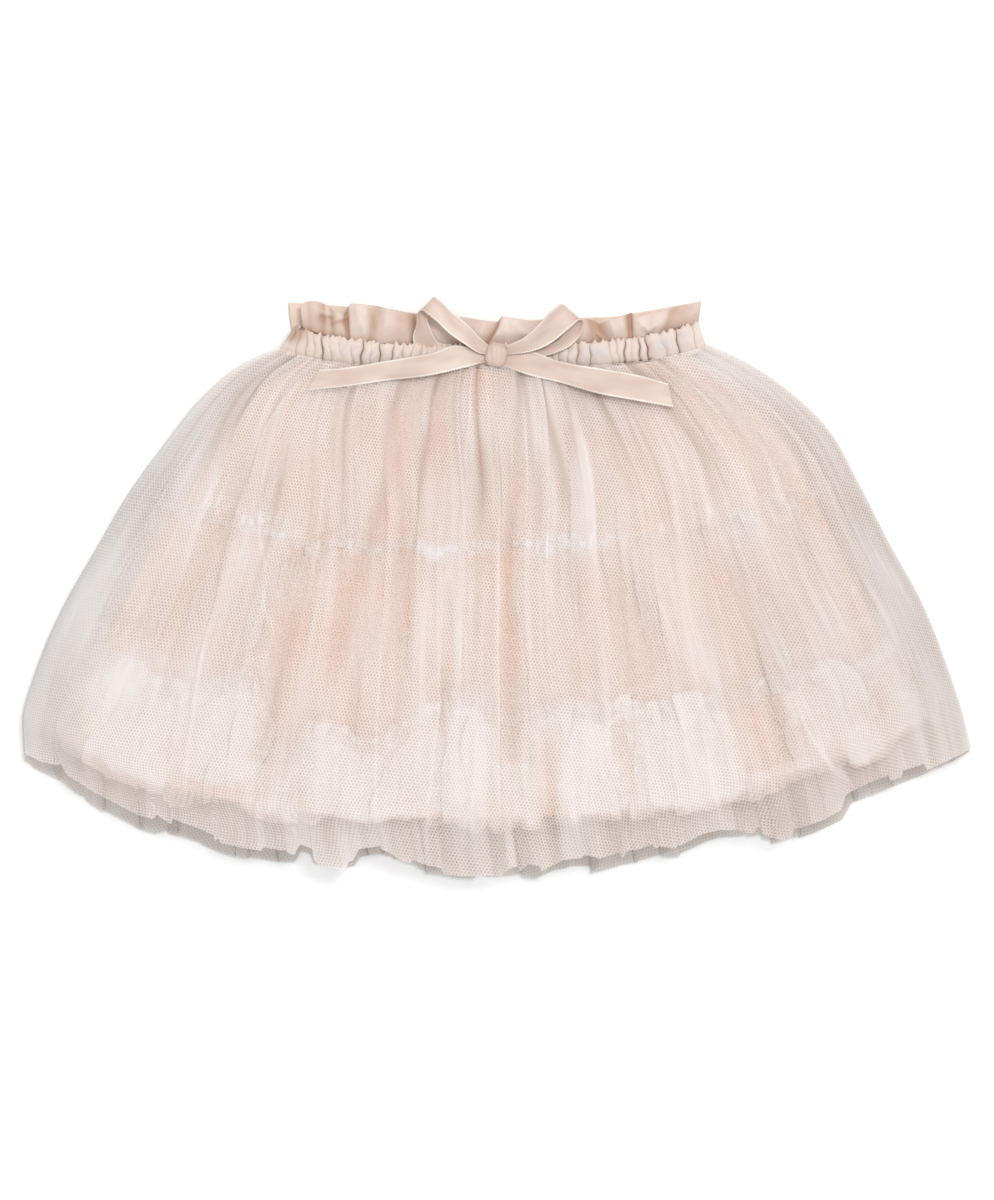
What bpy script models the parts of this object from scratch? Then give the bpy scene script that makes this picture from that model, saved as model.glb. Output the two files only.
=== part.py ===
"""A child's tulle skirt laid flat with its front up: one closed solid for each cut piece.

Metres, +Z up, +X to the right, +Y towards the waist. The origin is on the surface that the skirt lies on,
under the middle of its outline. Named sizes and tables are in millimetres. A place on the skirt is given
by two shares: across, from the left side (0) to the right side (1), and drop, from the waist seam (0) to
the hem (1). A step is a share across before the folds are made uneven.
"""

from collections import namedtuple
from math import cos, pi, sin, sqrt

import bmesh
import bpy
from mathutils import Vector

MM = 0.001
TURN = 2.0 * pi

# Walls, and the gap between two pieces that are sewn together.
NET_WALL = 1.2
COTTON_WALL = 1.2
RIBBON_WALL = 1.0
SEAM_GAP = 0.3

# The laid outline: drop, then the places of the left side and of the right side.
Station = namedtuple("Station", "drop left_x left_y right_x right_y")
OUTLINE = (
    Station(0.00, -109.5, 120.5, 107.0, 122.0),
    Station(0.06, -128.5, 111.5, 126.0, 113.0),
    Station(0.14, -146.5, 96.5, 145.5, 100.0),
    Station(0.25, -165.5, 73.0, 167.0, 79.5),
    Station(0.37, -183.5, 48.5, 182.0, 53.0),
    Station(0.50, -200.0, 20.5, 196.5, 24.5),
    Station(0.66, -218.5, -12.5, 214.5, -8.5),
    Station(0.80, -231.0, -42.5, 226.5, -39.0),
    Station(0.90, -237.0, -64.5, 233.5, -60.5),
    Station(1.00, -236.5, -87.0, 238.5, -82.0),
)
# How far the middle of a row hangs below the line between its two ends: at the waist, and how that grows
# with the drop. The power says how flat the row's middle is.
SAG_AT_WAIST = 10.5
SAG_GROWTH = 64.0
SAG_EASE = -14.0
SAG_POWER_WAIST = 4.0
SAG_POWER_LEFT = 3.0
SAG_POWER_RIGHT = 2.2
SAG_POWER_DROP = 0.3

# The skirt rises from the waist to its fullest drop and sinks a little towards the hem.
FULLEST_DROP = 0.72
HEM_PUFF = 0.6
PUFF_POWER = 0.8
SIDE_PUFF_POWER = 0.6
SIDE_ROUNDNESS = 6

# Columns of points to a gather, and how the gathers vary: their places wander, and so does their depth.
COLUMNS_PER_WAVE = 4
Wander = namedtuple("Wander", "share cycles phase drift")
WANDERS = (
    Wander(0.010, 5.0, 0.0, 0.2),
    Wander(0.005, 11.0, 0.3, 0.0),
    Wander(0.004, 7.0, 0.5, 0.0),
)
SHALLOWEST_WAVE = 0.62
DEPTH_CYCLES = 3.7
DEPTH_PHASE = 0.14

# A layer has a row of points at each of its drops and reaches to a share of the half width, a little less
# at the waist. Its lower face lies at an edge lift along its sides and at a middle lift between them, each
# given at the waist and where the skirt is fullest. Its waves are gathers: how many, and how deep at the
# waist and where it is fullest. Its hem may be ragged.
OVERLAY_DROPS = (0.004, 0.04, 0.1, 0.2, 0.34, 0.5, 0.66, 0.82, 1.0)
LINING_DROPS = (0.004, 0.04, 0.1, 0.2, 0.34, 0.5, 0.7, 0.9)
YOKE_DROPS = (0.004, 0.04, 0.1, 0.2, 0.362)
MIDDLE_DROPS = (0.366, 0.5, 0.624)
FRILL_DROPS = (0.628, 0.655, 0.7, 0.87)
Layer = namedtuple(
    "Layer",
    "name drops side edge_waist edge_full middle_waist middle_full waves wave_waist wave_full ragged",
)
LAYERS = (
    Layer("overlay_back", OVERLAY_DROPS, 1.00, 0.0, 0.0, 0.0, 0.0, 20, 0.6, 2.0, 1.6),
    Layer("yoke_tier_back", YOKE_DROPS, 0.94, 2.2, 3.7, 2.2, 3.7, 6, 0.2, 1.2, 0.0),
    Layer("middle_tier_back", MIDDLE_DROPS, 0.94, 2.2, 3.7, 2.2, 3.7, 8, 0.2, 1.4, 0.0),
    Layer("frill_back", FRILL_DROPS, 0.94, 2.2, 3.7, 2.2, 3.7, 14, 0.2, 1.6, 0.0),
    Layer("lining_back", LINING_DROPS, 0.89, 4.0, 7.0, 4.0, 7.0, 5, 0.1, 0.7, 0.0),
    Layer("lining_front", LINING_DROPS, 0.89, 5.6, 9.3, 5.7, 12.4, 6, 0.1, 1.2, 0.0),
    Layer("yoke_tier_front", YOKE_DROPS, 0.94, 6.9, 6.9, 7.4, 16.2, 8, 0.4, 2.4, 0.0),
    Layer("middle_tier_front", MIDDLE_DROPS, 0.94, 6.9, 6.9, 7.4, 16.2, 12, 0.4, 3.0, 0.0),
    Layer("frill_front", FRILL_DROPS, 0.94, 6.9, 6.9, 7.4, 16.2, 26, 0.4, 4.4, 0.0),
    Layer("overlay_front", OVERLAY_DROPS, 1.00, 7.6, 3.7, 9.6, 25.2, 28, 1.2, 5.0, 1.6),
)
NARROWER_AT_WAIST = 0.05
RAGGED_FROM_DROP = 0.9
RAGGED_CYCLES = (9.0, 17.0)
RAGGED_PHASES = (0.06, 0.16)

# The frill's raw heading stands over the tier above it, and its gathers sink back below its seam.
FRILL_HEADING_LIFT = 2.4
FRILL_SEAM_DROP = 0.655
FRILL_SETTLED_DROP = 0.7

# The largest folds of the front overlay: where each starts and ends across, its half width and its rise.
Fold = namedtuple("Fold", "at_waist at_hem half_width rise")
FRONT_FOLDS = (
    Fold(0.06, 0.12, 0.030, 1.6),
    Fold(0.16, 0.30, 0.022, 2.2),
    Fold(0.30, 0.36, 0.018, 1.2),
    Fold(0.40, 0.42, 0.022, 1.8),
    Fold(0.48, 0.48, 0.026, 2.4),
    Fold(0.60, 0.57, 0.022, 2.2),
    Fold(0.70, 0.72, 0.030, 2.4),
    Fold(0.86, 0.84, 0.022, 2.0),
    Fold(0.95, 0.93, 0.020, 1.2),
)
FOLDS_GROW_TO_DROP = 0.25

# The elastic casing: its left and right ends along the waist seam and along the heading, how those seams
# sag, and the rise of its outer face at each share of its height.
CASING_LOW = ((-108.5, 120.0), (105.5, 122.0))
CASING_TOP = ((-99.0, 130.0), (101.5, 132.5))
CASING_SAG = 10.0
CASING_SAG_POWER = 3.4
CASING_LIFT = 4.8
Level = namedtuple("Level", "height rise crease")
CASING_LEVELS = (
    Level(0.00, 1.6, 0.55),
    Level(0.22, 3.0, 0.90),
    Level(0.50, 3.2, 1.20),
    Level(0.78, 3.0, 0.90),
    Level(1.00, 1.6, 0.55),
)
CASING_WAVES_FRONT = 30
CASING_WAVES_BACK = 26

# The paper-bag heading above the casing: a ruffle of broad folds that deepen towards its top edge.
HEADING_LEVELS = (0.0, 0.3, 0.65, 1.0)
HEADING_HEIGHT_LEFT = 14.5
HEADING_HEIGHT_RIGHT = 12.5
HEADING_SCALLOP = 1.4
HEADING_FLARE = 1.4
HEADING_LIFT = 5.2
HEADING_SEAM_DEPTH = 0.25
HEADING_DEPTH_FRONT = 4.6
HEADING_DEPTH_BACK = 3.0
HEADING_BACK_SHIFT = -4.5
HEADING_WAVES_FRONT = 11
HEADING_WAVES_BACK = 10

# The ribbon bow. Each row is a crossing of the ribbon: one edge's place and lift, then the other's.
RIBBON_SMOOTHNESS = 3
Crossing = namedtuple("Crossing", "ax ay az bx by bz")
BOW_STRIPS = {
    "bow_tail_left": (
        Crossing(-5.6, 116.2, 11.0, -5.9, 113.4, 11.8),
        Crossing(-16.0, 121.0, 12.0, -12.0, 111.3, 13.8),
        Crossing(-33.0, 116.8, 14.4, -32.8, 106.4, 16.0),
        Crossing(-54.0, 113.2, 14.6, -53.4, 103.9, 16.4),
        Crossing(-74.5, 109.8, 14.8, -72.0, 101.2, 17.0),
        Crossing(-90.0, 107.9, 15.0, -94.5, 98.7, 17.2),
    ),
    "bow_tail_right": (
        Crossing(5.4, 115.6, 11.6, 5.0, 110.0, 12.8),
        Crossing(16.0, 118.3, 12.4, 16.0, 106.8, 14.6),
        Crossing(31.3, 113.2, 14.4, 31.3, 103.0, 17.2),
        Crossing(52.2, 109.4, 15.0, 52.2, 97.0, 19.2),
        Crossing(70.0, 106.3, 15.6, 68.0, 94.0, 20.2),
        Crossing(86.2, 101.8, 16.4, 88.8, 90.3, 19.8),
    ),
    "bow_loop_left": (
        Crossing(-5.6, 120.2, 12.1, -6.2, 117.2, 13.1),
        Crossing(-7.0, 127.4, 13.3, -13.4, 122.6, 15.9),
        Crossing(-16.5, 135.6, 14.3, -21.6, 127.6, 17.9),
        Crossing(-26.8, 143.0, 14.5, -29.2, 135.2, 18.3),
        Crossing(-31.0, 145.0, 13.7, -36.0, 139.6, 16.3),
        Crossing(-35.8, 141.6, 12.1, -39.4, 133.6, 13.5),
        Crossing(-33.4, 132.2, 11.7, -41.0, 127.4, 12.1),
    ),
    "bow_loop_right": (
        Crossing(7.4, 120.6, 12.1, 7.6, 118.4, 13.1),
        Crossing(13.4, 124.6, 13.1, 15.8, 119.2, 15.7),
        Crossing(23.6, 131.2, 14.3, 28.6, 124.4, 17.9),
        Crossing(31.2, 141.2, 14.5, 38.2, 131.6, 18.1),
        Crossing(34.8, 141.6, 13.5, 42.6, 134.4, 15.7),
        Crossing(38.6, 135.8, 11.8, 43.6, 130.0, 12.3),
        Crossing(35.2, 128.8, 11.7, 38.4, 123.6, 11.9),
    ),
}
KNOT_PLACE = (0.6, 116.6, 12.8)
KNOT_SIZE = (9.4, 10.6, 6.4)
KNOT_TILT = -0.16
KNOT_SQUARENESS = 0.6

# Finishes: colour (linear) and roughness.
Finish = namedtuple("Finish", "colour roughness")
FINISHES = {
    "overlay": Finish((0.86, 0.76, 0.71), 0.9),
    "tier": Finish((0.88, 0.76, 0.69), 0.9),
    "lining": Finish((0.85, 0.60, 0.48), 0.85),
    "cotton": Finish((0.83, 0.66, 0.56), 0.8),
    "ribbon": Finish((0.78, 0.60, 0.48), 0.5),
}


def mix(a, b, share):
    return a + (b - a) * share


def smoothstep(low, high, value):
    share = min(1.0, max(0.0, (value - low) / (high - low)))
    return share * share * (3.0 - 2.0 * share)


def clear_scene():
    for thing in list(bpy.data.objects):
        bpy.data.objects.remove(thing, do_unlink=True)


def material(name, finish):
    """A material of its own for each piece."""
    made = bpy.data.materials.new(name)
    made.use_nodes = True
    shader = made.node_tree.nodes["Principled BSDF"]
    shader.inputs["Base Color"].default_value = (*finish.colour, 1.0)
    shader.inputs["Roughness"].default_value = finish.roughness
    shader.inputs["Metallic"].default_value = 0.0
    return made


def piece_from(name, mesh, finish):
    """The finished object of a bmesh, its faces turned outwards."""
    bmesh.ops.recalc_face_normals(mesh, faces=mesh.faces[:])
    data = bpy.data.meshes.new(name)
    mesh.to_mesh(data)
    mesh.free()
    data.shade_smooth()
    data.materials.append(material(name, FINISHES[finish]))
    made = bpy.data.objects.new(name, data)
    bpy.context.scene.collection.objects.link(made)
    return made


def wall_piece(name, rows, thickness, finish, ground=None):
    """One closed wall: a grid of points in rows, and its copy `thickness` higher, joined round the rim.

    Where ground is given, the lower face is plain and lies flat at that height.
    """
    mesh = bmesh.new()
    grid = [[mesh.verts.new(point * MM) for point in row] for row in rows]
    for upper_row, lower_row in zip(grid, grid[1:]):
        for a, b, c, d in zip(upper_row, upper_row[1:], lower_row[1:], lower_row):
            mesh.faces.new((a, b, c, d))
    under = list(mesh.verts)
    raised = bmesh.ops.extrude_face_region(mesh, geom=mesh.faces[:])
    top = [item for item in raised["geom"] if isinstance(item, bmesh.types.BMVert)]
    bmesh.ops.translate(mesh, verts=top, vec=(0.0, 0.0, thickness * MM))
    if ground is not None:
        for vert in under:
            vert.co.z = ground * MM
    return piece_from(name, mesh, finish)


def side_places(drop):
    """The left and right ends of the row at this drop."""
    for above, below in zip(OUTLINE, OUTLINE[1:]):
        if drop <= below.drop:
            break
    share = (drop - above.drop) / (below.drop - above.drop)
    left = (mix(above.left_x, below.left_x, share), mix(above.left_y, below.left_y, share))
    right = (mix(above.right_x, below.right_x, share), mix(above.right_y, below.right_y, share))
    return left, right


def plan(across, drop):
    """The place in plan of a point on the skirt."""
    left, right = side_places(drop)
    side = 2.0 * across - 1.0
    open_power = SAG_POWER_LEFT if side < 0.0 else SAG_POWER_RIGHT
    power = mix(SAG_POWER_WAIST, open_power, min(1.0, drop / SAG_POWER_DROP))
    sag = SAG_AT_WAIST + SAG_GROWTH * drop + SAG_EASE * drop * drop
    hang = sag * (1.0 - abs(side) ** power)
    return mix(left[0], right[0], across), mix(left[1], right[1], across) - hang


def puff(drop):
    """How full the skirt is at this drop: 0 at the waist seam, 1 where it is fullest."""
    if drop < FULLEST_DROP:
        return sin(TURN / 4.0 * drop / FULLEST_DROP) ** PUFF_POWER
    past = (drop - FULLEST_DROP) / (1.0 - FULLEST_DROP)
    return mix(1.0, HEM_PUFF, past * past)


def dome(side):
    """The rounded section of a laid layer: 0 at its two sides, 1 between them."""
    return sqrt(max(0.0, 1.0 - abs(side) ** SIDE_ROUNDNESS))


def gather_steps(waves):
    """Steps across that put a column of points on each crest, flank and trough."""
    count = waves * COLUMNS_PER_WAVE
    return [i / count for i in range(count + 1)]


def gather(step, waves):
    """The height share of a row of gathers that are uneven in depth."""
    depth = mix(SHALLOWEST_WAVE, 1.0, sin(TURN * (DEPTH_CYCLES * step + DEPTH_PHASE)) ** 2)
    return depth * (0.5 - 0.5 * cos(TURN * waves * step))


def uneven(step, drop):
    """The share across of a step, so that the gathers differ in width and wander on their way down."""
    wander = sum(w.share * sin(TURN * (w.cycles * step + w.phase + w.drift * drop)) for w in WANDERS)
    return step + wander * sin(pi * step)


def fold_rise(across, drop):
    """How far the largest folds lift the front overlay here."""
    rise = 0.0
    for fold in FRONT_FOLDS:
        distance = (across - mix(fold.at_waist, fold.at_hem, drop)) / fold.half_width
        rise += fold.rise * 2.0 ** (-2.0 * distance * distance)
    return rise * smoothstep(0.0, FOLDS_GROW_TO_DROP, drop)


def layer_point(layer, step, drop):
    """A point on the lower face of a layer."""
    full = puff(drop)
    side = layer.side - NARROWER_AT_WAIST * (1.0 - full) if layer.side < 1.0 else 1.0
    across = 0.5 + (uneven(step, drop) - 0.5) * side
    x, y = plan(across, drop)
    ragged = sum(sin(TURN * (c * step + p)) for c, p in zip(RAGGED_CYCLES, RAGGED_PHASES))
    y += layer.ragged * ragged * smoothstep(RAGGED_FROM_DROP, 1.0, drop)
    edge = mix(layer.edge_waist, layer.edge_full, full**SIDE_PUFF_POWER)
    middle = mix(layer.middle_waist, layer.middle_full, full)
    if layer.name == "overlay_front":
        middle += fold_rise(across, drop)
    if layer.name == "frill_front":
        middle += FRILL_HEADING_LIFT * (1.0 - smoothstep(FRILL_SEAM_DROP, FRILL_SETTLED_DROP, drop))
    z = mix(edge, middle, dome(2.0 * step - 1.0))
    z += mix(layer.wave_waist, layer.wave_full, full) * gather(step, layer.waves)
    return Vector((x, y, z))


def skirt_layer(layer):
    steps = gather_steps(layer.waves)
    rows = [[layer_point(layer, step, drop) for step in steps] for drop in layer.drops]
    kind = layer.name.split("_")[0]
    finish = kind if kind in FINISHES else "tier"
    wall = COTTON_WALL if finish == "lining" else NET_WALL
    rests = layer.name == "overlay_back"
    wall_piece(layer.name, rows, wall, finish, ground=0.0 if rests else None)


def casing_seam(ends, step):
    """A place along one of the casing's two seams."""
    (left_x, left_y), (right_x, right_y) = ends
    hang = CASING_SAG * (1.0 - abs(2.0 * step - 1.0) ** CASING_SAG_POWER)
    return mix(left_x, right_x, step), mix(left_y, right_y, step) - hang


def casing(name, waves, lift):
    """The gathered elastic casing: plain inside, crossed outside by puffs and creases."""
    rows = []
    for level in CASING_LEVELS:
        row = []
        for step in gather_steps(waves):
            low_x, low_y = casing_seam(CASING_LOW, step)
            top_x, top_y = casing_seam(CASING_TOP, step)
            rise = level.rise + level.crease * gather(step, waves)
            x, y = mix(low_x, top_x, level.height), mix(low_y, top_y, level.height)
            row.append(Vector((x, y, lift + rise - COTTON_WALL)))
        rows.append(row)
    wall_piece(name, rows, COTTON_WALL, "cotton", ground=lift)


def heading(name, waves, lift, depth, shift):
    """The paper-bag heading. One that lies on the ground is plain below, and so is its lower face."""
    rows = []
    for height in HEADING_LEVELS:
        row = []
        for step in gather_steps(waves):
            x, y = casing_seam(CASING_TOP, step)
            fold = gather(step, waves)
            tall = mix(HEADING_HEIGHT_LEFT, HEADING_HEIGHT_RIGHT, step) + HEADING_SCALLOP * (fold - 0.5)
            x += height * (shift * (1.0 - step) + HEADING_FLARE * (2.0 * step - 1.0))
            z = lift + depth * mix(HEADING_SEAM_DEPTH, 1.0, height) * fold
            row.append(Vector((x, y + SEAM_GAP + tall * height, z)))
        rows.append(row)
    wall_piece(name, rows, COTTON_WALL, "cotton", ground=None if lift else 0.0)


def curve_through(points):
    """Points along a smooth curve through the given ones (Catmull-Rom)."""
    padded = [points[0] * 2.0 - points[1], *points, points[-1] * 2.0 - points[-2]]
    found = []
    for before, start, end, after in zip(padded, padded[1:], padded[2:], padded[3:]):
        for i in range(RIBBON_SMOOTHNESS):
            t = i / RIBBON_SMOOTHNESS
            slope = (end - before) * t
            bend = (before * 2.0 - start * 5.0 + end * 4.0 - after) * t**2
            ease = (start * 3.0 - before - end * 3.0 + after) * t**3
            found.append((start * 2.0 + slope + bend + ease) * 0.5)
    return [*found, points[-1]]


def ribbon_strip(name, crossings):
    """A strip of ribbon: a wall of even thickness between the curves of its two edges."""
    one = curve_through([Vector((c.ax, c.ay, c.az)) for c in crossings])
    other = curve_through([Vector((c.bx, c.by, c.bz)) for c in crossings])
    middles = [(a + b) / 2.0 for a, b in zip(one, other)]
    mesh = bmesh.new()
    rings = []
    for i, (a, b) in enumerate(zip(one, other)):
        onward = middles[min(len(middles) - 1, i + 1)] - middles[max(0, i - 1)]
        out = onward.cross(b - a).normalized() * (RIBBON_WALL / 2.0)
        rings.append([mesh.verts.new(place * MM) for place in (a - out, b - out, b + out, a + out)])
    for ring, following in zip(rings, rings[1:]):
        for corner in range(4):
            turn = (corner + 1) % 4
            mesh.faces.new((ring[corner], ring[turn], following[turn], following[corner]))
    mesh.faces.new(rings[0])
    mesh.faces.new(rings[-1])
    piece_from(name, mesh, "ribbon")


def knot():
    """The flat knot: a rounded pad of ribbon where the loops and tails meet."""
    mesh = bmesh.new()
    bmesh.ops.create_uvsphere(mesh, u_segments=14, v_segments=8, radius=1.0)
    for vert in mesh.verts:
        squared = [abs(value) ** KNOT_SQUARENESS * (1.0 if value > 0.0 else -1.0) for value in vert.co]
        vert.co = Vector([value * size / 2.0 * MM for value, size in zip(squared, KNOT_SIZE)])
    made = piece_from("bow_knot", mesh, "ribbon")
    made.rotation_euler.z = KNOT_TILT
    made.location = Vector(KNOT_PLACE) * MM


def build():
    clear_scene()
    for layer in LAYERS:
        skirt_layer(layer)
    casing("waistband_back", CASING_WAVES_BACK, 0.0)
    casing("waistband_front", CASING_WAVES_FRONT, CASING_LIFT)
    heading("heading_back", HEADING_WAVES_BACK, 0.0, HEADING_DEPTH_BACK, HEADING_BACK_SHIFT)
    heading("heading_front", HEADING_WAVES_FRONT, HEADING_LIFT, HEADING_DEPTH_FRONT, 0.0)
    for name, crossings in BOW_STRIPS.items():
        ribbon_strip(name, crossings)
    knot()


build()
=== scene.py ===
"""A child's tulle skirt laid flat with its front up: the finished look of each cut piece.

Metres, +Z up, +X to the right, +Y towards the waist, as in the frame. Named sizes and tables are in
millimetres. A place on the skirt is given by two shares: across, from the left side (0) to the right side
(1), and drop, from the waist seam (0) to the hem (1).
"""

from collections import namedtuple
from math import atan2, pi, radians

import bpy
import numpy as np
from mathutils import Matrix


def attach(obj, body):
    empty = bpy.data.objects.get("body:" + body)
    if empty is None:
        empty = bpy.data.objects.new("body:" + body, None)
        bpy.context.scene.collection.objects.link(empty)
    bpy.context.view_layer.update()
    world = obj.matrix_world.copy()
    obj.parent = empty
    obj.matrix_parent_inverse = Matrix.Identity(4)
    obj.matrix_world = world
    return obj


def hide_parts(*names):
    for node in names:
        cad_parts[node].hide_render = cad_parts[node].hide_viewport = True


MM = 0.001
TURN = 2.0 * pi
BODY = "root"

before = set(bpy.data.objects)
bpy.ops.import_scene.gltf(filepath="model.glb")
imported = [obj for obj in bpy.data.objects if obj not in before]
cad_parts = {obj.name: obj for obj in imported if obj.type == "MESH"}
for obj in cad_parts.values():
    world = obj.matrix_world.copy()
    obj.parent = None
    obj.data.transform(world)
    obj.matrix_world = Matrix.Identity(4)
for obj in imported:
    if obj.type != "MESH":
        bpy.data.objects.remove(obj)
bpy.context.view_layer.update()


# ---------------------------------------------------------------- sizes shared with the cut pieces

# The laid outline: drop, then the places of the left side and of the right side.
OUTLINE = np.array((
    (0.0, -109.5, 120.5, 107.0, 122.0), (0.06, -128.5, 111.5, 126.0, 113.0),
    (0.14, -146.5, 96.5, 145.5, 100.0), (0.25, -165.5, 73.0, 167.0, 79.5),
    (0.37, -183.5, 48.5, 182.0, 53.0), (0.5, -200.0, 20.5, 196.5, 24.5),
    (0.66, -218.5, -12.5, 214.5, -8.5), (0.8, -231.0, -42.5, 226.5, -39.0),
    (0.9, -237.0, -64.5, 233.5, -60.5), (1.0, -236.5, -87.0, 238.5, -82.0),
))
SAG_AT_WAIST = 10.5
SAG_GROWTH = 64.0
SAG_EASE = -14.0
SAG_POWER_WAIST = 4.0
SAG_POWER_LEFT = 3.0
SAG_POWER_RIGHT = 2.2
SAG_POWER_DROP = 0.3
SKIRT_LENGTH = 262.0

FULLEST_DROP = 0.72
HEM_PUFF = 0.6
PUFF_POWER = 0.8
SIDE_PUFF_POWER = 0.6
SIDE_ROUNDNESS = 6
NET_WALL = 1.2

# The heights of each layer's lower face along its sides and between them, at the waist and where the skirt
# is fullest, and the share of the half width that it reaches.
Layer = namedtuple("Layer", "side edge_waist edge_full middle_waist middle_full")
LAYERS = {
    "overlay_back": Layer(1.00, 0.3, 0.3, 0.3, 0.3),
    "tier_back": Layer(0.94, 2.2, 3.7, 2.2, 3.7),
    "lining_back": Layer(0.89, 4.0, 7.0, 4.0, 7.0),
    "lining_front": Layer(0.89, 5.6, 9.3, 5.7, 12.4),
    "tier_front": Layer(0.94, 6.9, 6.9, 7.4, 16.2),
    "overlay_front": Layer(1.00, 7.6, 3.7, 9.6, 25.2),
}
NARROWER_AT_WAIST = 0.05

CASING_LOW = ((-108.5, 120.0), (105.5, 122.0))
CASING_TOP = ((-99.0, 130.0), (101.5, 132.5))
CASING_SAG = 10.0
CASING_SAG_POWER = 3.4
CASING_LIFT = 4.8


# ---------------------------------------------------------------- finishes

def linear(hexadecimal):
    """The linear colour of an sRGB hex value."""
    parts = [int(hexadecimal[i : i + 2], 16) / 255.0 for i in (1, 3, 5)]
    return (*(p / 12.92 if p <= 0.04045 else ((p + 0.055) / 1.055) ** 2.4 for p in parts), 1.0)


def add(material, kind, settings=None, links=None):
    """One shader node with its settings and the links into it."""
    tree = material.node_tree
    node = tree.nodes.new("ShaderNode" + kind)
    for name, value in (settings or {}).items():
        if isinstance(name, int) or name in node.inputs:
            node.inputs[name].default_value = value
        else:
            setattr(node, name, value)
    for socket, source in (links or {}).items():
        tree.links.new(source, node.inputs[socket])
    return node


def new_material(name):
    """An empty material."""
    material = bpy.data.materials.new(name)
    material.use_nodes = True
    material.node_tree.nodes.clear()
    return material


# Net: round-holed nylon tulle, knitted of fine yarn, with holes 1.75 mm apart. Single net shows what lies
# behind it, and where it is gathered or folded, more layers of yarn close the holes behind each other.
HOLE_SPACING = 1.75
YARN_UP_TO = -0.35
YARN_EDGE = 1.15
THREAD_ROUNDNESS = 0.72
YARN_ROUGHNESS = 0.4
TRANSLUCENT = 0.18
# Painted shade: the darker colour mixed into the net where its deep gathers get little light.
NET_PAINTED_SHADE = "#BFA18E"
# The white that bunched net turns. The same white paints light where the bright attribute lifts the net
# along its sides.
BUNCHED_AND_LIT_WHITE = "#FAF8F8"
SINGLE = "#F6D8C6"
GATHERED_PALES = 0.36
THIN_WARMS = 0.26
WARMEST = 0.34


def nylon_tulle(name, yarn, inner, threads, holes, turned, closes=0.19, covers=0.095):
    """threads and holes are how much the yarn and the spaces between it hide, covers and closes how much
    more of each gathering hides. inner is the colour between, the peach layers below seen through the
    holes with their shade painted in; turned the weave's turn in degrees."""
    material = new_material(name)
    place = add(material, "UVMap")
    turn = add(
        material, "Mapping", {"Rotation": (0.0, 0.0, radians(turned))}, {"Vector": place.outputs["UV"]}
    )
    pitch = 2.0 * TURN / (3.0**0.5 * HOLE_SPACING * MM)
    waves = None
    for direction in (90.0, 210.0, 330.0):
        way = (np.cos(radians(direction)) * pitch, np.sin(radians(direction)) * pitch, 0.0)
        along = add(material, "VectorMath", {"operation": "DOT_PRODUCT", 1: way}, {0: turn.outputs[0]})
        wave = add(material, "Math", {"operation": "COSINE"}, {0: along.outputs["Value"]})
        if waves is not None:
            wave = add(material, "Math", {}, {0: waves.outputs[0], 1: wave.outputs[0]})
        waves = wave
    yarn_edges = {1: YARN_UP_TO - YARN_EDGE, 2: YARN_UP_TO + YARN_EDGE}
    hole = add(material, "MapRange", yarn_edges, {0: waves.outputs[0]})
    gathered, bright, deep = (
        add(material, "Attribute", {"attribute_name": kind}).outputs["Fac"]
        for kind in ("gathered", "bright", "deep")
    )
    hiding = []
    for gain, single in ((covers, threads), (closes, holes)):
        closing = {"operation": "MULTIPLY_ADD", 1: gain, 2: single, "use_clamp": True}
        hiding.append(add(material, "Math", closing, {0: gathered}).outputs[0])
    hides = add(material, "MapRange", {}, {0: hole.outputs[0], 3: hiding[0], 4: hiding[1]})
    # Paler where the net is bunched, and where the bright attribute paints light.
    paler = {"operation": "MULTIPLY_ADD", 1: GATHERED_PALES, "use_clamp": True}
    pale = add(material, "Math", paler, {0: gathered, 2: bright})
    thinner = {"operation": "MULTIPLY", 1: -THIN_WARMS, "use_clamp": True}
    thin = add(material, "Math", thinner, {0: gathered})
    thin = add(material, "Math", {"operation": "MINIMUM", 1: WARMEST}, {0: thin.outputs[0]})
    # Between the yarn: the peach layers below, with painted shade.
    dyes = {"data_type": "RGBA", 6: linear(yarn), 7: linear(inner)}
    colour = add(material, "Mix", dyes, {0: hole.outputs[0]})
    # The deep attribute mixes painted shade into the yarn's colour.
    for share, tint in ((pale.outputs[0], BUNCHED_AND_LIT_WHITE), (thin.outputs[0], SINGLE), (deep, NET_PAINTED_SHADE)):
        tinted = {"data_type": "RGBA", 7: linear(tint)}
        colour = add(material, "Mix", tinted, {0: share, 6: colour.outputs[2]})
    slope = add(material, "NewGeometry")
    flatter = {"operation": "SCALE", "Scale": 1.0 - THREAD_ROUNDNESS}
    steady = add(material, "VectorMath", flatter, {0: slope.outputs["Normal"]})
    rounder = {"operation": "ADD", 1: (0.0, 0.0, THREAD_ROUNDNESS)}
    lifted = add(material, "VectorMath", rounder, {0: steady.outputs[0]})
    facing = add(material, "VectorMath", {"operation": "NORMALIZE"}, {0: lifted.outputs[0]})
    lit = {"Color": colour.outputs[2], "Normal": facing.outputs[0]}
    front = add(material, "BsdfDiffuse", {"Roughness": YARN_ROUGHNESS}, lit)
    through = add(material, "BsdfTranslucent", {}, {"Color": colour.outputs[2]})
    yarns = add(material, "MixShader", {0: TRANSLUCENT}, {1: front.outputs[0], 2: through.outputs[0]})
    clear = add(material, "BsdfTransparent")
    cloth = add(material, "MixShader", {}, {0: hides.outputs[0], 1: clear.outputs[0], 2: yarns.outputs[0]})
    add(material, "OutputMaterial", {}, {"Surface": cloth.outputs[0]})
    return material


# Woven cotton: threads drawn 0.5 mm apart, a little coarser than the real lawn, so that they show.
THREAD_SPACING = 0.5
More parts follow.
